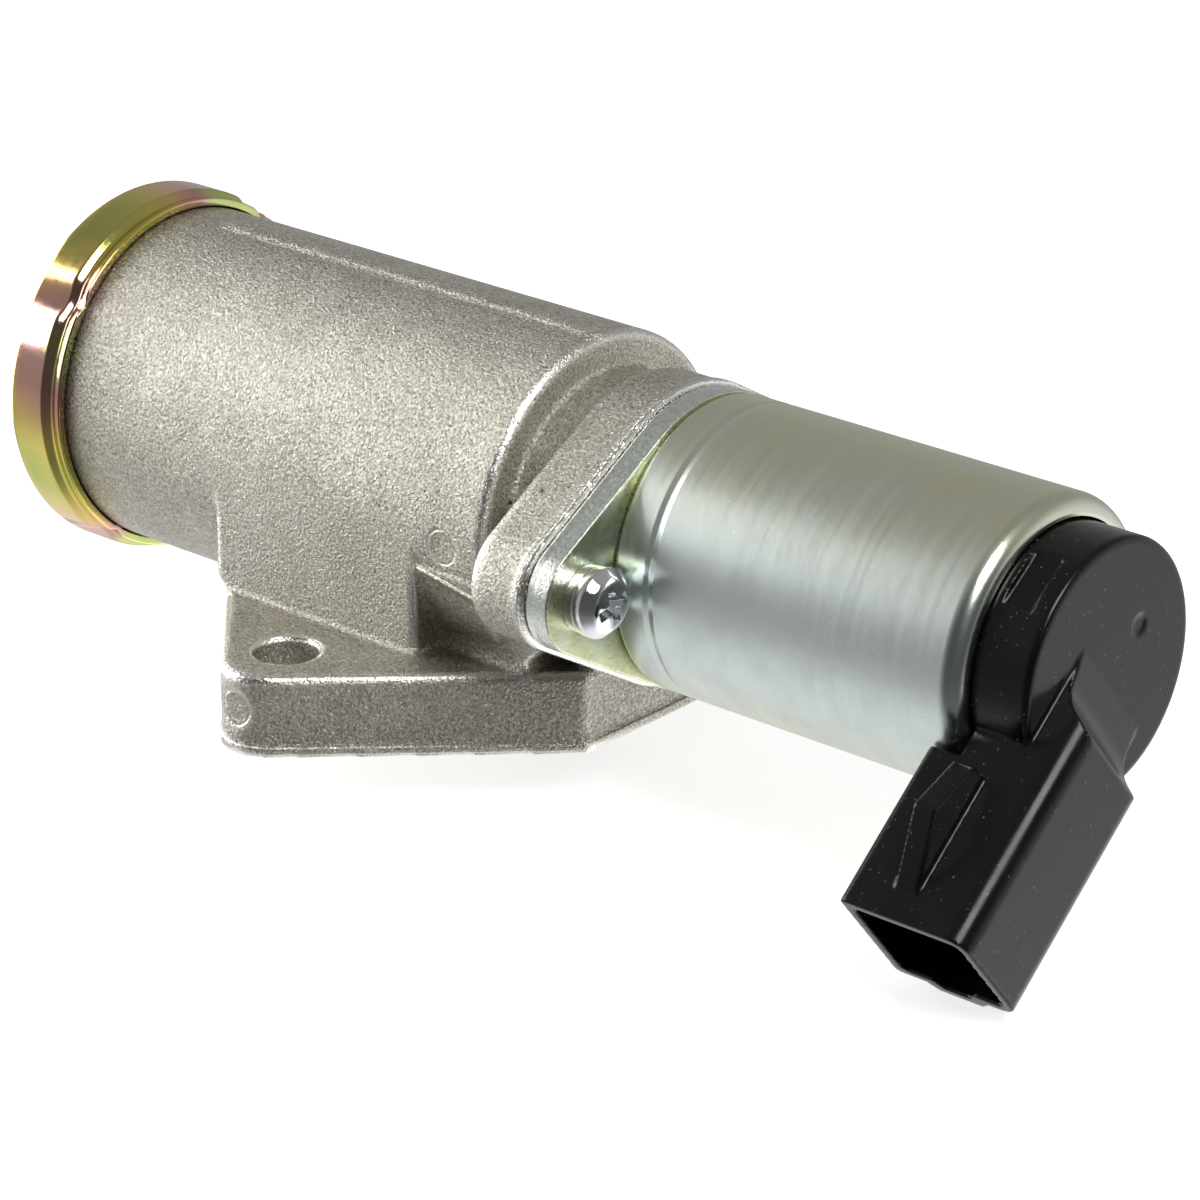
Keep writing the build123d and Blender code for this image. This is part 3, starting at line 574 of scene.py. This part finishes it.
def clear_tint(tree, place, clouds):
    """Passivated zinc, yellower above and below, with clouds, scuffs and dust."""
    up = parts_of(tree, vector_maths(tree, "SUBTRACT", place, (0, 0, axis_height)))["Z"]
    side = between(tree, maths(tree, "ABSOLUTE", up), 0.4 * can_radius, can_radius)
    drift = between(tree, mottle(tree, place, 12 * mm, 2.0), 0.0, 1.0, 0.5, 1.0)
    yellow = maths(tree, "MULTIPLY", side, drift)
    tint = blend(tree, yellow, (0.69, 0.76, 0.74), (0.75, 0.73, 0.48))
    tint = blend(tree, maths(tree, "MULTIPLY", clouds, 0.45), tint, (0.60, 0.65, 0.63))
    scuffs = use_group(tree, scuffs_group, vector=place, size=0.45 * mm, stretch=(3, 0.5, 0.5),
                       amount=0.12)
    tint = blend(tree, maths(tree, "MULTIPLY", scuffs["Line"], 0.35), tint, (0.9, 0.92, 0.92))
    dots = add_node(tree, "ShaderNodeTexVoronoi", {"Vector": place, "Scale": 1 / dust_spacing})
    dust = between(tree, dots.outputs["Distance"], 0.06, 0.035)
    return blend(tree, maths(tree, "MULTIPLY", dust, 0.7), tint, (0.97, 0.98, 0.97))


# %% [markdown]
# Drawing leaves the can slightly satin, so it shows the studio as soft bands. The sheet slid
# along the die, which left faint lines of gloss round it. Where the sheet is rolled over at the
# end, the tool polished it: the surface normal leans towards X there, and the gloss rises.

# %% Clear zinc
def make_clear_plate():
    material, tree, shader, place = start_material("clear_zinc", (0.74, 0.79, 0.76), 1.0, 0.4)
    clouds = mottle(tree, place, 5 * mm, 4.0)
    tint = clear_tint(tree, place, clouds)
    drawn = vector_maths(tree, "MULTIPLY", place, (1, 0.03, 0.03))
    lines = mottle(tree, drawn, 0.9 * mm, 3.0)
    gloss = maths(tree, "MULTIPLY_ADD", lines, 0.08, between(tree, clouds, 0.0, 1.0, 0.29, 0.36))
    normal = add_node(tree, "ShaderNodeNewGeometry").outputs["Normal"]
    rolled = between(tree, maths(tree, "ABSOLUTE", parts_of(tree, normal)["X"]), 0.1, 0.4)
    gloss = maths(tree, "MULTIPLY_ADD", rolled, -0.14, gloss)
    skin = mottle(tree, place, 1.2 * mm, 4.0)
    dress(tree, shader, tint, gloss, skin, 0.012 * mm, 0.5)
    return material


clear_plate = make_clear_plate()

# %% [markdown]
# The mounting plate is blanked from thick strip. Its flat faces took an olive chromate, while
# its cut edge is half burnished and half torn, and stays bright. Two materials on one piece
# would need its faces sorted. The surface normal tells them apart without that: on a flat face
# it points along the axis.

# %% Olive plate with a bright cut edge
burnished_depth = 1.2 * mm
shadow = (0.08, 0.08, 0.07)


def make_olive_plate():
    material, tree, shader, place = start_material("olive_zinc", (0.6, 0.58, 0.3), 1.0, 0.3)
    normal = add_node(tree, "ShaderNodeNewGeometry").outputs["Normal"]
    along_normal = maths(tree, "ABSOLUTE", parts_of(tree, normal)["X"])
    cut_edge = between(tree, along_normal, 0.75, 0.45)
    tint = ramp(tree, mottle(tree, place, 5 * mm, 3.0),
                [(0.0, (0.52, 0.54, 0.33)), (0.5, (0.66, 0.68, 0.46)), (1.0, (0.72, 0.77, 0.66))])
    torn = use_group(tree, grain_group, vector=place, size=0.3 * mm)
    tint = blend(tree, cut_edge, tint,
                 blend(tree, torn["Cell"], (0.62, 0.66, 0.6), (0.85, 0.88, 0.84)))
    depth = parts_of(tree, place)["X"]
    joint = between(tree, depth, plate_low.x + 0.3 * mm, plate_low.x + 0.1 * mm, 0.0, 0.8)
    tint = blend(tree, joint, tint, shadow)

    torn_from = plate_low.x + burnished_depth
    torn_half = maths(tree, "MULTIPLY", cut_edge,
                      between(tree, depth, torn_from, torn_from + 0.4 * mm))
    skin = mottle(tree, place, 0.5 * mm, 3.0)
    torn_height = maths(tree, "MULTIPLY", torn_half, torn["Height"])
    height = maths(tree, "MULTIPLY_ADD", torn_height, 6.0, skin)
    dress(tree, shader, tint, between(tree, skin, 0.0, 1.0, 0.24, 0.4), height, 0.02 * mm, 0.6)
    return material


olive_plate = make_olive_plate()

# %% [markdown]
# Screws and lock washers are plated in a barrel, which leaves them brighter than the plate.
# Their finish is close to a mirror, so a slow ripple in the gloss is what keeps it from looking
# like chrome.

# %% Bright zinc
def make_bright_screw():
    material, tree, shader, place = start_material("bright_zinc", (0.82, 0.84, 0.86), 1.0, 0.14)
    skin = mottle(tree, place, 0.6 * mm, 3.0)
    dress(tree, shader, None, between(tree, skin, 0.0, 1.0, 0.05, 0.14), skin, 0.015 * mm, 0.4)
    return material


bright_screw = make_bright_screw()

# %% [markdown]
# The connector is glass filled nylon: black, satin, with a faint tooth from the mould and pale
# specks of dust and fibre. The specks are single grains, picked by their random value. Black
# plastic looks grey when its shine is too broad, so the specular level is below its default.

# %% Black nylon
def make_black_plastic():
    black = (0.0035, 0.0035, 0.0032)
    material, tree, shader, place = start_material("black_nylon", black, 0.0, 0.3)
    shader.inputs["Specular IOR Level"].default_value = 0.3
    tooth = use_group(tree, grain_group, vector=place, size=0.22 * mm)
    speck = between(tree, tooth["Cell"], 0.988, 0.996)
    dust = maths(tree, "MULTIPLY", speck, mottle(tree, place, 1.5 * mm, 2.0))
    colour = blend(tree, maths(tree, "MULTIPLY", dust, 0.4), black, (0.3, 0.3, 0.29))
    gloss = between(tree, mottle(tree, place, 5 * mm, 3.0), 0.0, 1.0, 0.2, 0.28)
    dress(tree, shader, colour, gloss, tooth["Height"], 0.02 * mm, 0.25)
    return material


black_plastic = make_black_plastic()

# %% [markdown]
# The pieces inside are seen only in an exploded or cut view. Each still gets its own finish: a
# colour that drifts in tone, and a gloss that drifts with it. One function makes them all, from
# rubber to turned steel.

# %% Finishes of the pieces inside
def make_plain(name, colour, metallic, low, high):
    """One colour with a slow drift in tone, and a gloss between two values."""
    material, tree, shader, place = start_material(name, colour, metallic, low)
    darker = tuple(0.8 * c for c in colour)
    tone = ramp(tree, mottle(tree, place, 3.2 * mm, 3.0), [(0.0, darker), (1.0, colour)])
    skin = mottle(tree, place, 0.8 * mm, 3.0)
    dress(tree, shader, tone, between(tree, skin, 0.0, 1.0, low, high), skin, 0.02 * mm, 0.4)
    return material


bobbin_plastic = make_plain("bobbin_nylon", (0.05, 0.05, 0.055), 0.0, 0.4, 0.55)
rubber = make_plain("seal_rubber", (0.02, 0.02, 0.02), 0.0, 0.55, 0.75)
brass = make_plain("turned_brass", (0.72, 0.5, 0.2), 1.0, 0.2, 0.34)
copper = make_plain("copper_wire", (0.62, 0.24, 0.1), 1.0, 0.28, 0.4)
steel = make_plain("turned_steel", (0.56, 0.56, 0.57), 1.0, 0.2, 0.34)
spring_steel = make_plain("spring_wire", (0.36, 0.37, 0.4), 1.0, 0.25, 0.4)
tin = make_plain("tin_plate", (0.74, 0.74, 0.72), 1.0, 0.16, 0.28)

# %% [markdown]
# An operator acts on all that is selected, so each step starts by picking one piece and nothing
# else. A solid's mesh comes as loose triangles. A copy of it is merged into one skin before any
# modifier can work on it, and then its normals are turned outwards.

# %% Picking, modifying and copying
join_distance = 0.001 * mm


def pick(piece):
    """Select one piece and make it active."""
    bpy.ops.object.select_all(action="DESELECT")
    piece.select_set(True)
    bpy.context.view_layer.objects.active = piece


def use_modifier(piece, kind, **settings):
    """Add a modifier with its settings, and apply it."""
    pick(piece)
    modifier = piece.modifiers.new(kind.lower(), kind)
    for name, value in settings.items():
        setattr(modifier, name, value)
    bpy.ops.object.modifier_apply(modifier=modifier.name)


def join_skin():
    """Merge what lies at one place, turn all faces outwards, and leave edit mode."""
    bpy.ops.mesh.select_all(action="SELECT")
    bpy.ops.mesh.remove_doubles(threshold=join_distance)
    bpy.ops.mesh.normals_make_consistent(inside=False)
    bpy.ops.object.mode_set(mode="OBJECT")


def copy_of(node, name):
    """A copy of a solid, its loose triangles joined to one closed skin."""
    piece = nodes[node].copy()
    piece.data = nodes[node].data.copy()
    piece.name = name
    bpy.context.scene.collection.objects.link(piece)
    pick(piece)
    bpy.ops.object.mode_set(mode="EDIT")
    join_skin()
    return piece


# %% [markdown]
# Smooth shading by angle rounds the curved faces and keeps real edges crisp. Near a thin bevel
# it still bends the shading of the flat face beside it, so weighted normals let large faces
# have their say. Then the piece gets its material and its body, and the node that it stands for
# is hidden.

# %% Finishing a piece
smooth_angle = math.radians(40)


def finish_piece(piece, node, material):
    """Shading, one material, and the piece's place in the frame."""
    pick(piece)
    bpy.ops.object.shade_smooth_by_angle(angle=smooth_angle)
    use_modifier(piece, "WEIGHTED_NORMAL", keep_sharp=True)
    piece.data.materials.clear()
    piece.data.materials.append(material)
    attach(piece, "housing")
    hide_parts(node)
    print(piece.name, "faces:", len(piece.data.polygons))


# %% [markdown]
# Metal or plastic that fills a mould never ends in a sharp corner, inside or out. A bevel fails
# where many blended faces meet, as on this casting. So the skin is rebuilt as even small
# squares, smoothed until its corners have a radius of a few tenths of a millimetre, and thinned
# out where it is flat.

# %% Soft corners
smoothing_rounds = 4


def soften(node, name, cell, share, material):
    """A solid's skin rebuilt from cells of one size, smoothed, and thinned to a share of it."""
    piece = copy_of(node, name)
    use_modifier(piece, "REMESH", mode="VOXEL", voxel_size=cell)
    use_modifier(piece, "SMOOTH", factor=0.5, iterations=smoothing_rounds)
    use_modifier(piece, "DECIMATE", ratio=share)
    finish_piece(piece, node, material)


soften("valve_housing", "soft_casting", 0.32 * mm, 0.28, casting)
soften("connector_cap", "soft_connector", 0.22 * mm, 0.35, black_plastic)

# %% [markdown]
# Round pieces are turned as on a lathe, from a profile along the axis. A profile's corners are
# given with a rounding, and this helper works out the points of each arc, so that the sizes stay
# easy to read and to change.

# %% A rounded profile
def rounded(corners, steps=6):
    """Stations (x, radius) along a profile whose corners (x, radius, rounding) become arcs."""
    stations = []
    for index, corner in enumerate(corners):
        here = Vector(corner[:2])
        rounding = corner[2] if len(corner) > 2 else 0
        if rounding == 0:
            stations.append(here)
            continue
        back = (Vector(corners[index - 1][:2]) - here).normalized()
        on = (Vector(corners[index + 1][:2]) - here).normalized()
        half = back.angle(on) / 2
        start = here + back * rounding / math.tan(half)
        end = here + on * rounding / math.tan(half)
        centre = here + (back + on).normalized() * rounding / math.sin(half)
        for step in range(steps + 1):
            arm = (start - centre).lerp(end - centre, step / steps).normalized() * rounding
            stations.append(centre + arm)
    return stations


# %% [markdown]
# The turning itself is a chain of extrusions: a ring of edges is extruded from station to
# station and scaled to each radius. Spin would do it too, but its seam has to be merged, and a
# ring keeps the rows of faces straight. The ring can't shrink to a point, so a tiny hole is left
# at the hub, and it is filled at the end.

# %% Turning a piece
hub = 0.4 * mm


def turned_piece(name, stations, sides, across=0.0):
    """A piece turned about a line along X, from a ring extruded along its stations."""
    bpy.ops.object.select_all(action="DESELECT")
    bpy.ops.mesh.primitive_circle_add(vertices=sides, radius=stations[0][1], fill_type="NOTHING",
                                      location=(stations[0][0], across, axis_height),
                                      rotation=(0, math.radians(90), 0))
    piece = bpy.context.object
    piece.name = name
    bpy.ops.object.transform_apply(location=True, rotation=True, scale=True)
    bpy.ops.object.mode_set(mode="EDIT")
    bpy.ops.mesh.select_all(action="SELECT")
    for (x, radius), (next_x, next_radius) in zip(stations, stations[1:]):
        bpy.ops.mesh.extrude_edges_move(TRANSFORM_OT_translate={"value": (next_x - x, 0, 0)})
        scale = next_radius / radius
        bpy.ops.transform.resize(value=(1, scale, scale),
                                 center_override=(next_x, across, axis_height))
    join_skin()
    return piece


def close_ends(piece):
    """Fill the small rings that are left open."""
    pick(piece)
    bpy.ops.object.mode_set(mode="EDIT")
    bpy.ops.mesh.select_mode(type="EDGE")
    bpy.ops.mesh.select_all(action="DESELECT")
    bpy.ops.mesh.select_non_manifold()
    bpy.ops.mesh.fill_holes(sides=0)
    bpy.ops.mesh.select_mode(type="VERT")
    bpy.ops.mesh.select_all(action="SELECT")
    bpy.ops.mesh.normals_make_consistent(inside=False)
    bpy.ops.object.mode_set(mode="OBJECT")


# %% [markdown]
# The end cap is a drawn cup that is rolled on. Its profile has a dished face, a wide band, and a
# rim that is rolled in behind the canister's bead and flares out again at its very edge. The
# inner half of the profile follows the outer one at the sheet's thickness.

# %% End cap with its rolled rim
cap_face = end_cap_low.x
cap_radius = (end_cap_high.z - end_cap_low.z) / 2
cap_wall = 0.8 * mm
dish_radius = 13.0 * mm
dish_depth = 0.6 * mm
rim_inside = 20.55 * mm
rim_outside = 21.35 * mm
gold_cap = turned_piece("gold_end_cap", rounded([
    (cap_face + dish_depth, hub),
    (cap_face + dish_depth, dish_radius, 1.2 * mm),
    (cap_face, dish_radius + 2 * dish_depth, 1.2 * mm),
    (cap_face, cap_radius, 1.4 * mm),
    (cap_face + 6.0 * mm, cap_radius, 0.6 * mm),
    (cap_face + 6.7 * mm, rim_outside - 0.05 * mm, 0.6 * mm),
    (end_cap_high.x, rim_outside + 0.25 * mm, 0.25 * mm),
    (end_cap_high.x, rim_inside, 0.15 * mm),
    (cap_face + 6.8 * mm, rim_inside, 0.3 * mm),
    (cap_face + 5.8 * mm, cap_radius - cap_wall, 0.3 * mm),
    (cap_face + cap_wall, cap_radius - cap_wall, 1.2 * mm),
    (cap_face + cap_wall, dish_radius + 2 * dish_depth, 0.6 * mm),
    (cap_face + cap_wall + dish_depth, dish_radius, 0.6 * mm),
    (cap_face + cap_wall + dish_depth, hub)]), sides=240)
close_ends(gold_cap)
print("end cap across in mm:", round(2 * cap_radius / mm, 2))

# %% [markdown]
# Four stakes lock the rim. Each is a dent pressed into the soft edge, which also draws the band
# in a little beside it. Proportional editing would press them by hand. In code, the vertices
# near the place are moved, fully at its middle and less and less towards its reach.

# %% The stakes
stake_turn = math.radians(38)
stake_count = 4
band_dent, band_reach = 0.75 * mm, 2.9 * mm
edge_dent, edge_reach = 0.45 * mm, 1.2 * mm


def press(piece, place, push, reach):
    """Push the skin near a place: fully there, and less and less out to the reach."""
    for vertex in piece.data.vertices:
        away = (vertex.co - place).length / reach
        if away < 1:
            vertex.co += push * (1 - away * away) ** 2


for index in range(stake_count):
    turn = stake_turn + index * math.tau / stake_count
    outward = Vector((0, -math.cos(turn), math.sin(turn)))
    centre = Vector((0, 0, axis_height))
    edge = centre + outward * rim_outside + Vector((end_cap_high.x - 0.3 * mm, 0, 0))
    band = centre + outward * cap_radius + Vector((cap_face + 6.1 * mm, 0, 0))
    press(gold_cap, band, -band_dent * outward, band_reach)
    press(gold_cap, edge, -edge_dent * outward, edge_reach)
finish_piece(gold_cap, "end_cap", gold_plate)

# %% [markdown]
# The coil can is drawn from sheet. Its profile has a rounded floor, a shallow ring where the
# drawing tool stopped, and an open end that is rolled in over the connector's collar. It is
# turned like the end cap, with finer arcs, because its long highlight shows every facet.

# %% Coil can
can_start, can_end = can_low.x, can_high.x
can_bore = 8.05 * mm
can_lip = 14.7 * mm
can_sheet = 1.0 * mm
ring_place = can_start + 5.2 * mm
ring_half = 0.7 * mm
ring_depth = 0.14 * mm
bright_can = turned_piece("bright_coil_can", rounded([
    (can_start, can_bore),
    (can_start, can_radius, 1.0 * mm),
    (ring_place - ring_half, can_radius, 0.8 * mm),
    (ring_place, can_radius - ring_depth, 0.8 * mm),
    (ring_place + ring_half, can_radius, 0.8 * mm),
    (can_end, can_radius, 2.3 * mm),
    (can_end, can_lip, 0.35 * mm),
    (can_end - can_sheet, can_lip, 0.3 * mm),
    (can_end - can_sheet, can_radius - can_sheet),
    (can_start + can_sheet, can_radius - can_sheet),
    (can_start + can_sheet, can_bore),
    (can_start, can_bore)], steps=8), sides=192)
finish_piece(bright_can, "solenoid_can", clear_plate)

# %% [markdown]
# The small hard pieces keep their solids' shape, and only their edges are broken. The flat
# faces are first dissolved to single ones, so that the bevel meets real edges alone. Three
# segments give each edge the thin line of light that a tumbled edge has.

# %% Broken edges
flat_angle = math.radians(1)
edge_angle = math.radians(30)


def break_edges(node, name, width, material):
    """A copy of a solid with its sharp edges bevelled."""
    piece = copy_of(node, name)
    bpy.ops.object.mode_set(mode="EDIT")
    bpy.ops.mesh.select_all(action="SELECT")
    bpy.ops.mesh.dissolve_limited(angle_limit=flat_angle)
    bpy.ops.object.mode_set(mode="OBJECT")
    use_modifier(piece, "BEVEL", width=width, segments=3, limit_method="ANGLE",
                 angle_limit=edge_angle, use_clamp_overlap=True)
    finish_piece(piece, node, material)


break_edges("mounting_plate", "bright_plate", 0.18 * mm, olive_plate)
for side in ("front", "rear"):
    break_edges("lock_washer_" + side, "bright_washer_" + side, 0.15 * mm, bright_screw)

# %% [markdown]
# The cross recess of a screw is pressed in by a punch with tapered wings. Two wedges cut it
# here: a cube whose inner end is scaled down is one, and the other is the same turned by a
# quarter. The wedge starts a little above the head, so that the cut is clean at its surface.

# %% A wedge for the recess
recess_length = 5.4 * mm
recess_width = 1.3 * mm
recess_depth = 1.9 * mm
recess_rise = 0.3 * mm
inner_share = (1, 0.3, 0.6)


def recess_wedge(place, turn):
    """A wedge that narrows into the head, turned about the screw's axis."""
    wedge_height = recess_depth + recess_rise
    middle = place + Vector((recess_rise - wedge_height / 2, 0, 0))
    bpy.ops.mesh.primitive_cube_add(size=1, location=middle)
    wedge = bpy.context.object
    wedge.scale = (wedge_height, recess_length, recess_width)
    bpy.ops.object.transform_apply(location=True, rotation=True, scale=True)
    bpy.ops.object.mode_set(mode="EDIT")
    bpy.ops.mesh.select_all(action="DESELECT")
    bpy.ops.object.mode_set(mode="OBJECT")
    for face in wedge.data.polygons:
        face.select = face.normal.x < -0.5
    bpy.ops.object.mode_set(mode="EDIT")
    bpy.ops.mesh.select_mode(type="FACE")
    bpy.ops.transform.resize(value=inner_share, center_override=place)
    bpy.ops.mesh.select_all(action="SELECT")
    bpy.ops.transform.rotate(value=turn, orient_axis="X", center_override=place)
    bpy.ops.object.mode_set(mode="OBJECT")
    return wedge


# %% [markdown]
# The screws show their heads, so each is turned from a profile with a domed head and a plain
# shank. The recess is then cut with the two wedges, and a small bevel breaks its edges. The two
# screws came to rest at different angles when they were tightened.

# %% Pan head screws
head_height = 2.7 * mm
shank_radius = 2.0 * mm
screw_break = 0.07 * mm


def pan_screw(side, turn):
    """One screw, turned and cut where its solid stands."""
    low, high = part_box("screw_" + side)
    across = (low.y + high.y) / 2
    radius = (high.y - low.y) / 2
    seat = high.x - head_height
    stations = rounded([
        (low.x, hub), (low.x, shank_radius, 0.3 * mm), (seat, shank_radius),
        (seat, radius, 0.25 * mm), (seat + 1.15 * mm, radius, 0.5 * mm),
        (high.x - 0.35 * mm, 0.72 * radius, 1.6 * mm), (high.x, 0.3 * radius, 2.5 * mm),
        (high.x, hub)])
    screw = turned_piece("bright_screw_" + side, stations, 64, across)
    close_ends(screw)
    place = Vector((high.x, across, axis_height))
    for quarter in (0, math.radians(90)):
        wedge = recess_wedge(place, turn + quarter)
        use_modifier(screw, "BOOLEAN", operation="DIFFERENCE", solver="EXACT", object=wedge)
        bpy.data.objects.remove(wedge)
    use_modifier(screw, "BEVEL", width=screw_break, segments=2, limit_method="ANGLE",
                 angle_limit=smooth_angle, use_clamp_overlap=True)
    finish_piece(screw, "screw_" + side, bright_screw)


pan_screw("front", math.radians(-18))
pan_screw("rear", math.radians(18))

# %% [markdown]
# A coil spring is a small circle of wire swept about the axis. A curve with a bevel could be
# it, but the Screw modifier is shorter: it turns the circle about the object's origin and moves
# it along by one pitch for each turn. The object then goes to its place, which is applied.

# %% Coil springs
wire_sides = 12
steps_in_turn = 40


def coil_spring(node, name, wire, turns):
    """A round wire coil that fills its solid's box."""
    low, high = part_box(node)
    coil_radius = (high.z - low.z - wire) / 2
    bpy.ops.object.select_all(action="DESELECT")
    bpy.ops.mesh.primitive_circle_add(vertices=wire_sides, radius=wire / 2, fill_type="NOTHING",
                                      location=(0, 0, coil_radius),
                                      rotation=(math.radians(90), 0, 0))
    spring = bpy.context.object
    spring.name = name
    bpy.ops.object.transform_apply(location=True, rotation=True, scale=True)
    pitch = (high.x - low.x - wire) / turns
    use_modifier(spring, "SCREW", axis="X", angle=math.tau, screw_offset=pitch, iterations=turns,
                 steps=steps_in_turn, render_steps=steps_in_turn, use_merge_vertices=True,
                 merge_threshold=join_distance)
    spring.location = (low.x + wire / 2, 0, axis_height)
    bpy.ops.object.transform_apply(location=True, rotation=True, scale=True)
    close_ends(spring)
    finish_piece(spring, node, spring_steel)
    return spring


return_coil = coil_spring("return_spring", "return_coil", 1.1 * mm, 6)
coil_spring("balance_spring", "balance_coil", 0.7 * mm, 5)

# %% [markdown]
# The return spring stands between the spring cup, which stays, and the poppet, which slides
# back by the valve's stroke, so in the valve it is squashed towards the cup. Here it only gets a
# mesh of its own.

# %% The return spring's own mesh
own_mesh(return_coil)

# %% [markdown]
# Each solid now gets its finish by the name of its node, also where a dressed piece stands in
# for it. Only the material slots change. The meshes stay as they came.

# %% Finish by node
finishes = {
    "valve_housing": casting,
    "end_cap": gold_plate,
    "end_cap_seal": rubber,
    "spring_cup": steel,
    "return_spring": spring_steel,
    "poppet": brass,
    "poppet_seal": rubber,
    "valve_seat": brass,
    "valve_stem": steel,
    "stem_clip": spring_steel,
    "mounting_plate": olive_plate,
    "plate_o_ring": rubber,
    "solenoid_can": clear_plate,
    "screw_front": bright_screw,
    "screw_rear": bright_screw,
    "lock_washer_front": bright_screw,
    "lock_washer_rear": bright_screw,
    "coil_bobbin": bobbin_plastic,
    "coil_winding": copper,
    "fixed_core": steel,
    "stem_bush": brass,
    "flux_washer": steel,
    "plunger": steel,
    "guide_sleeve": steel,
    "balance_spring": spring_steel,
    "connector_cap": black_plastic,
    "terminal_1": tin,
    "terminal_2": tin,
}
for name, material in finishes.items():
    nodes[name].data.materials.clear()
    nodes[name].data.materials.append(material)
print("finished nodes:", len(finishes))
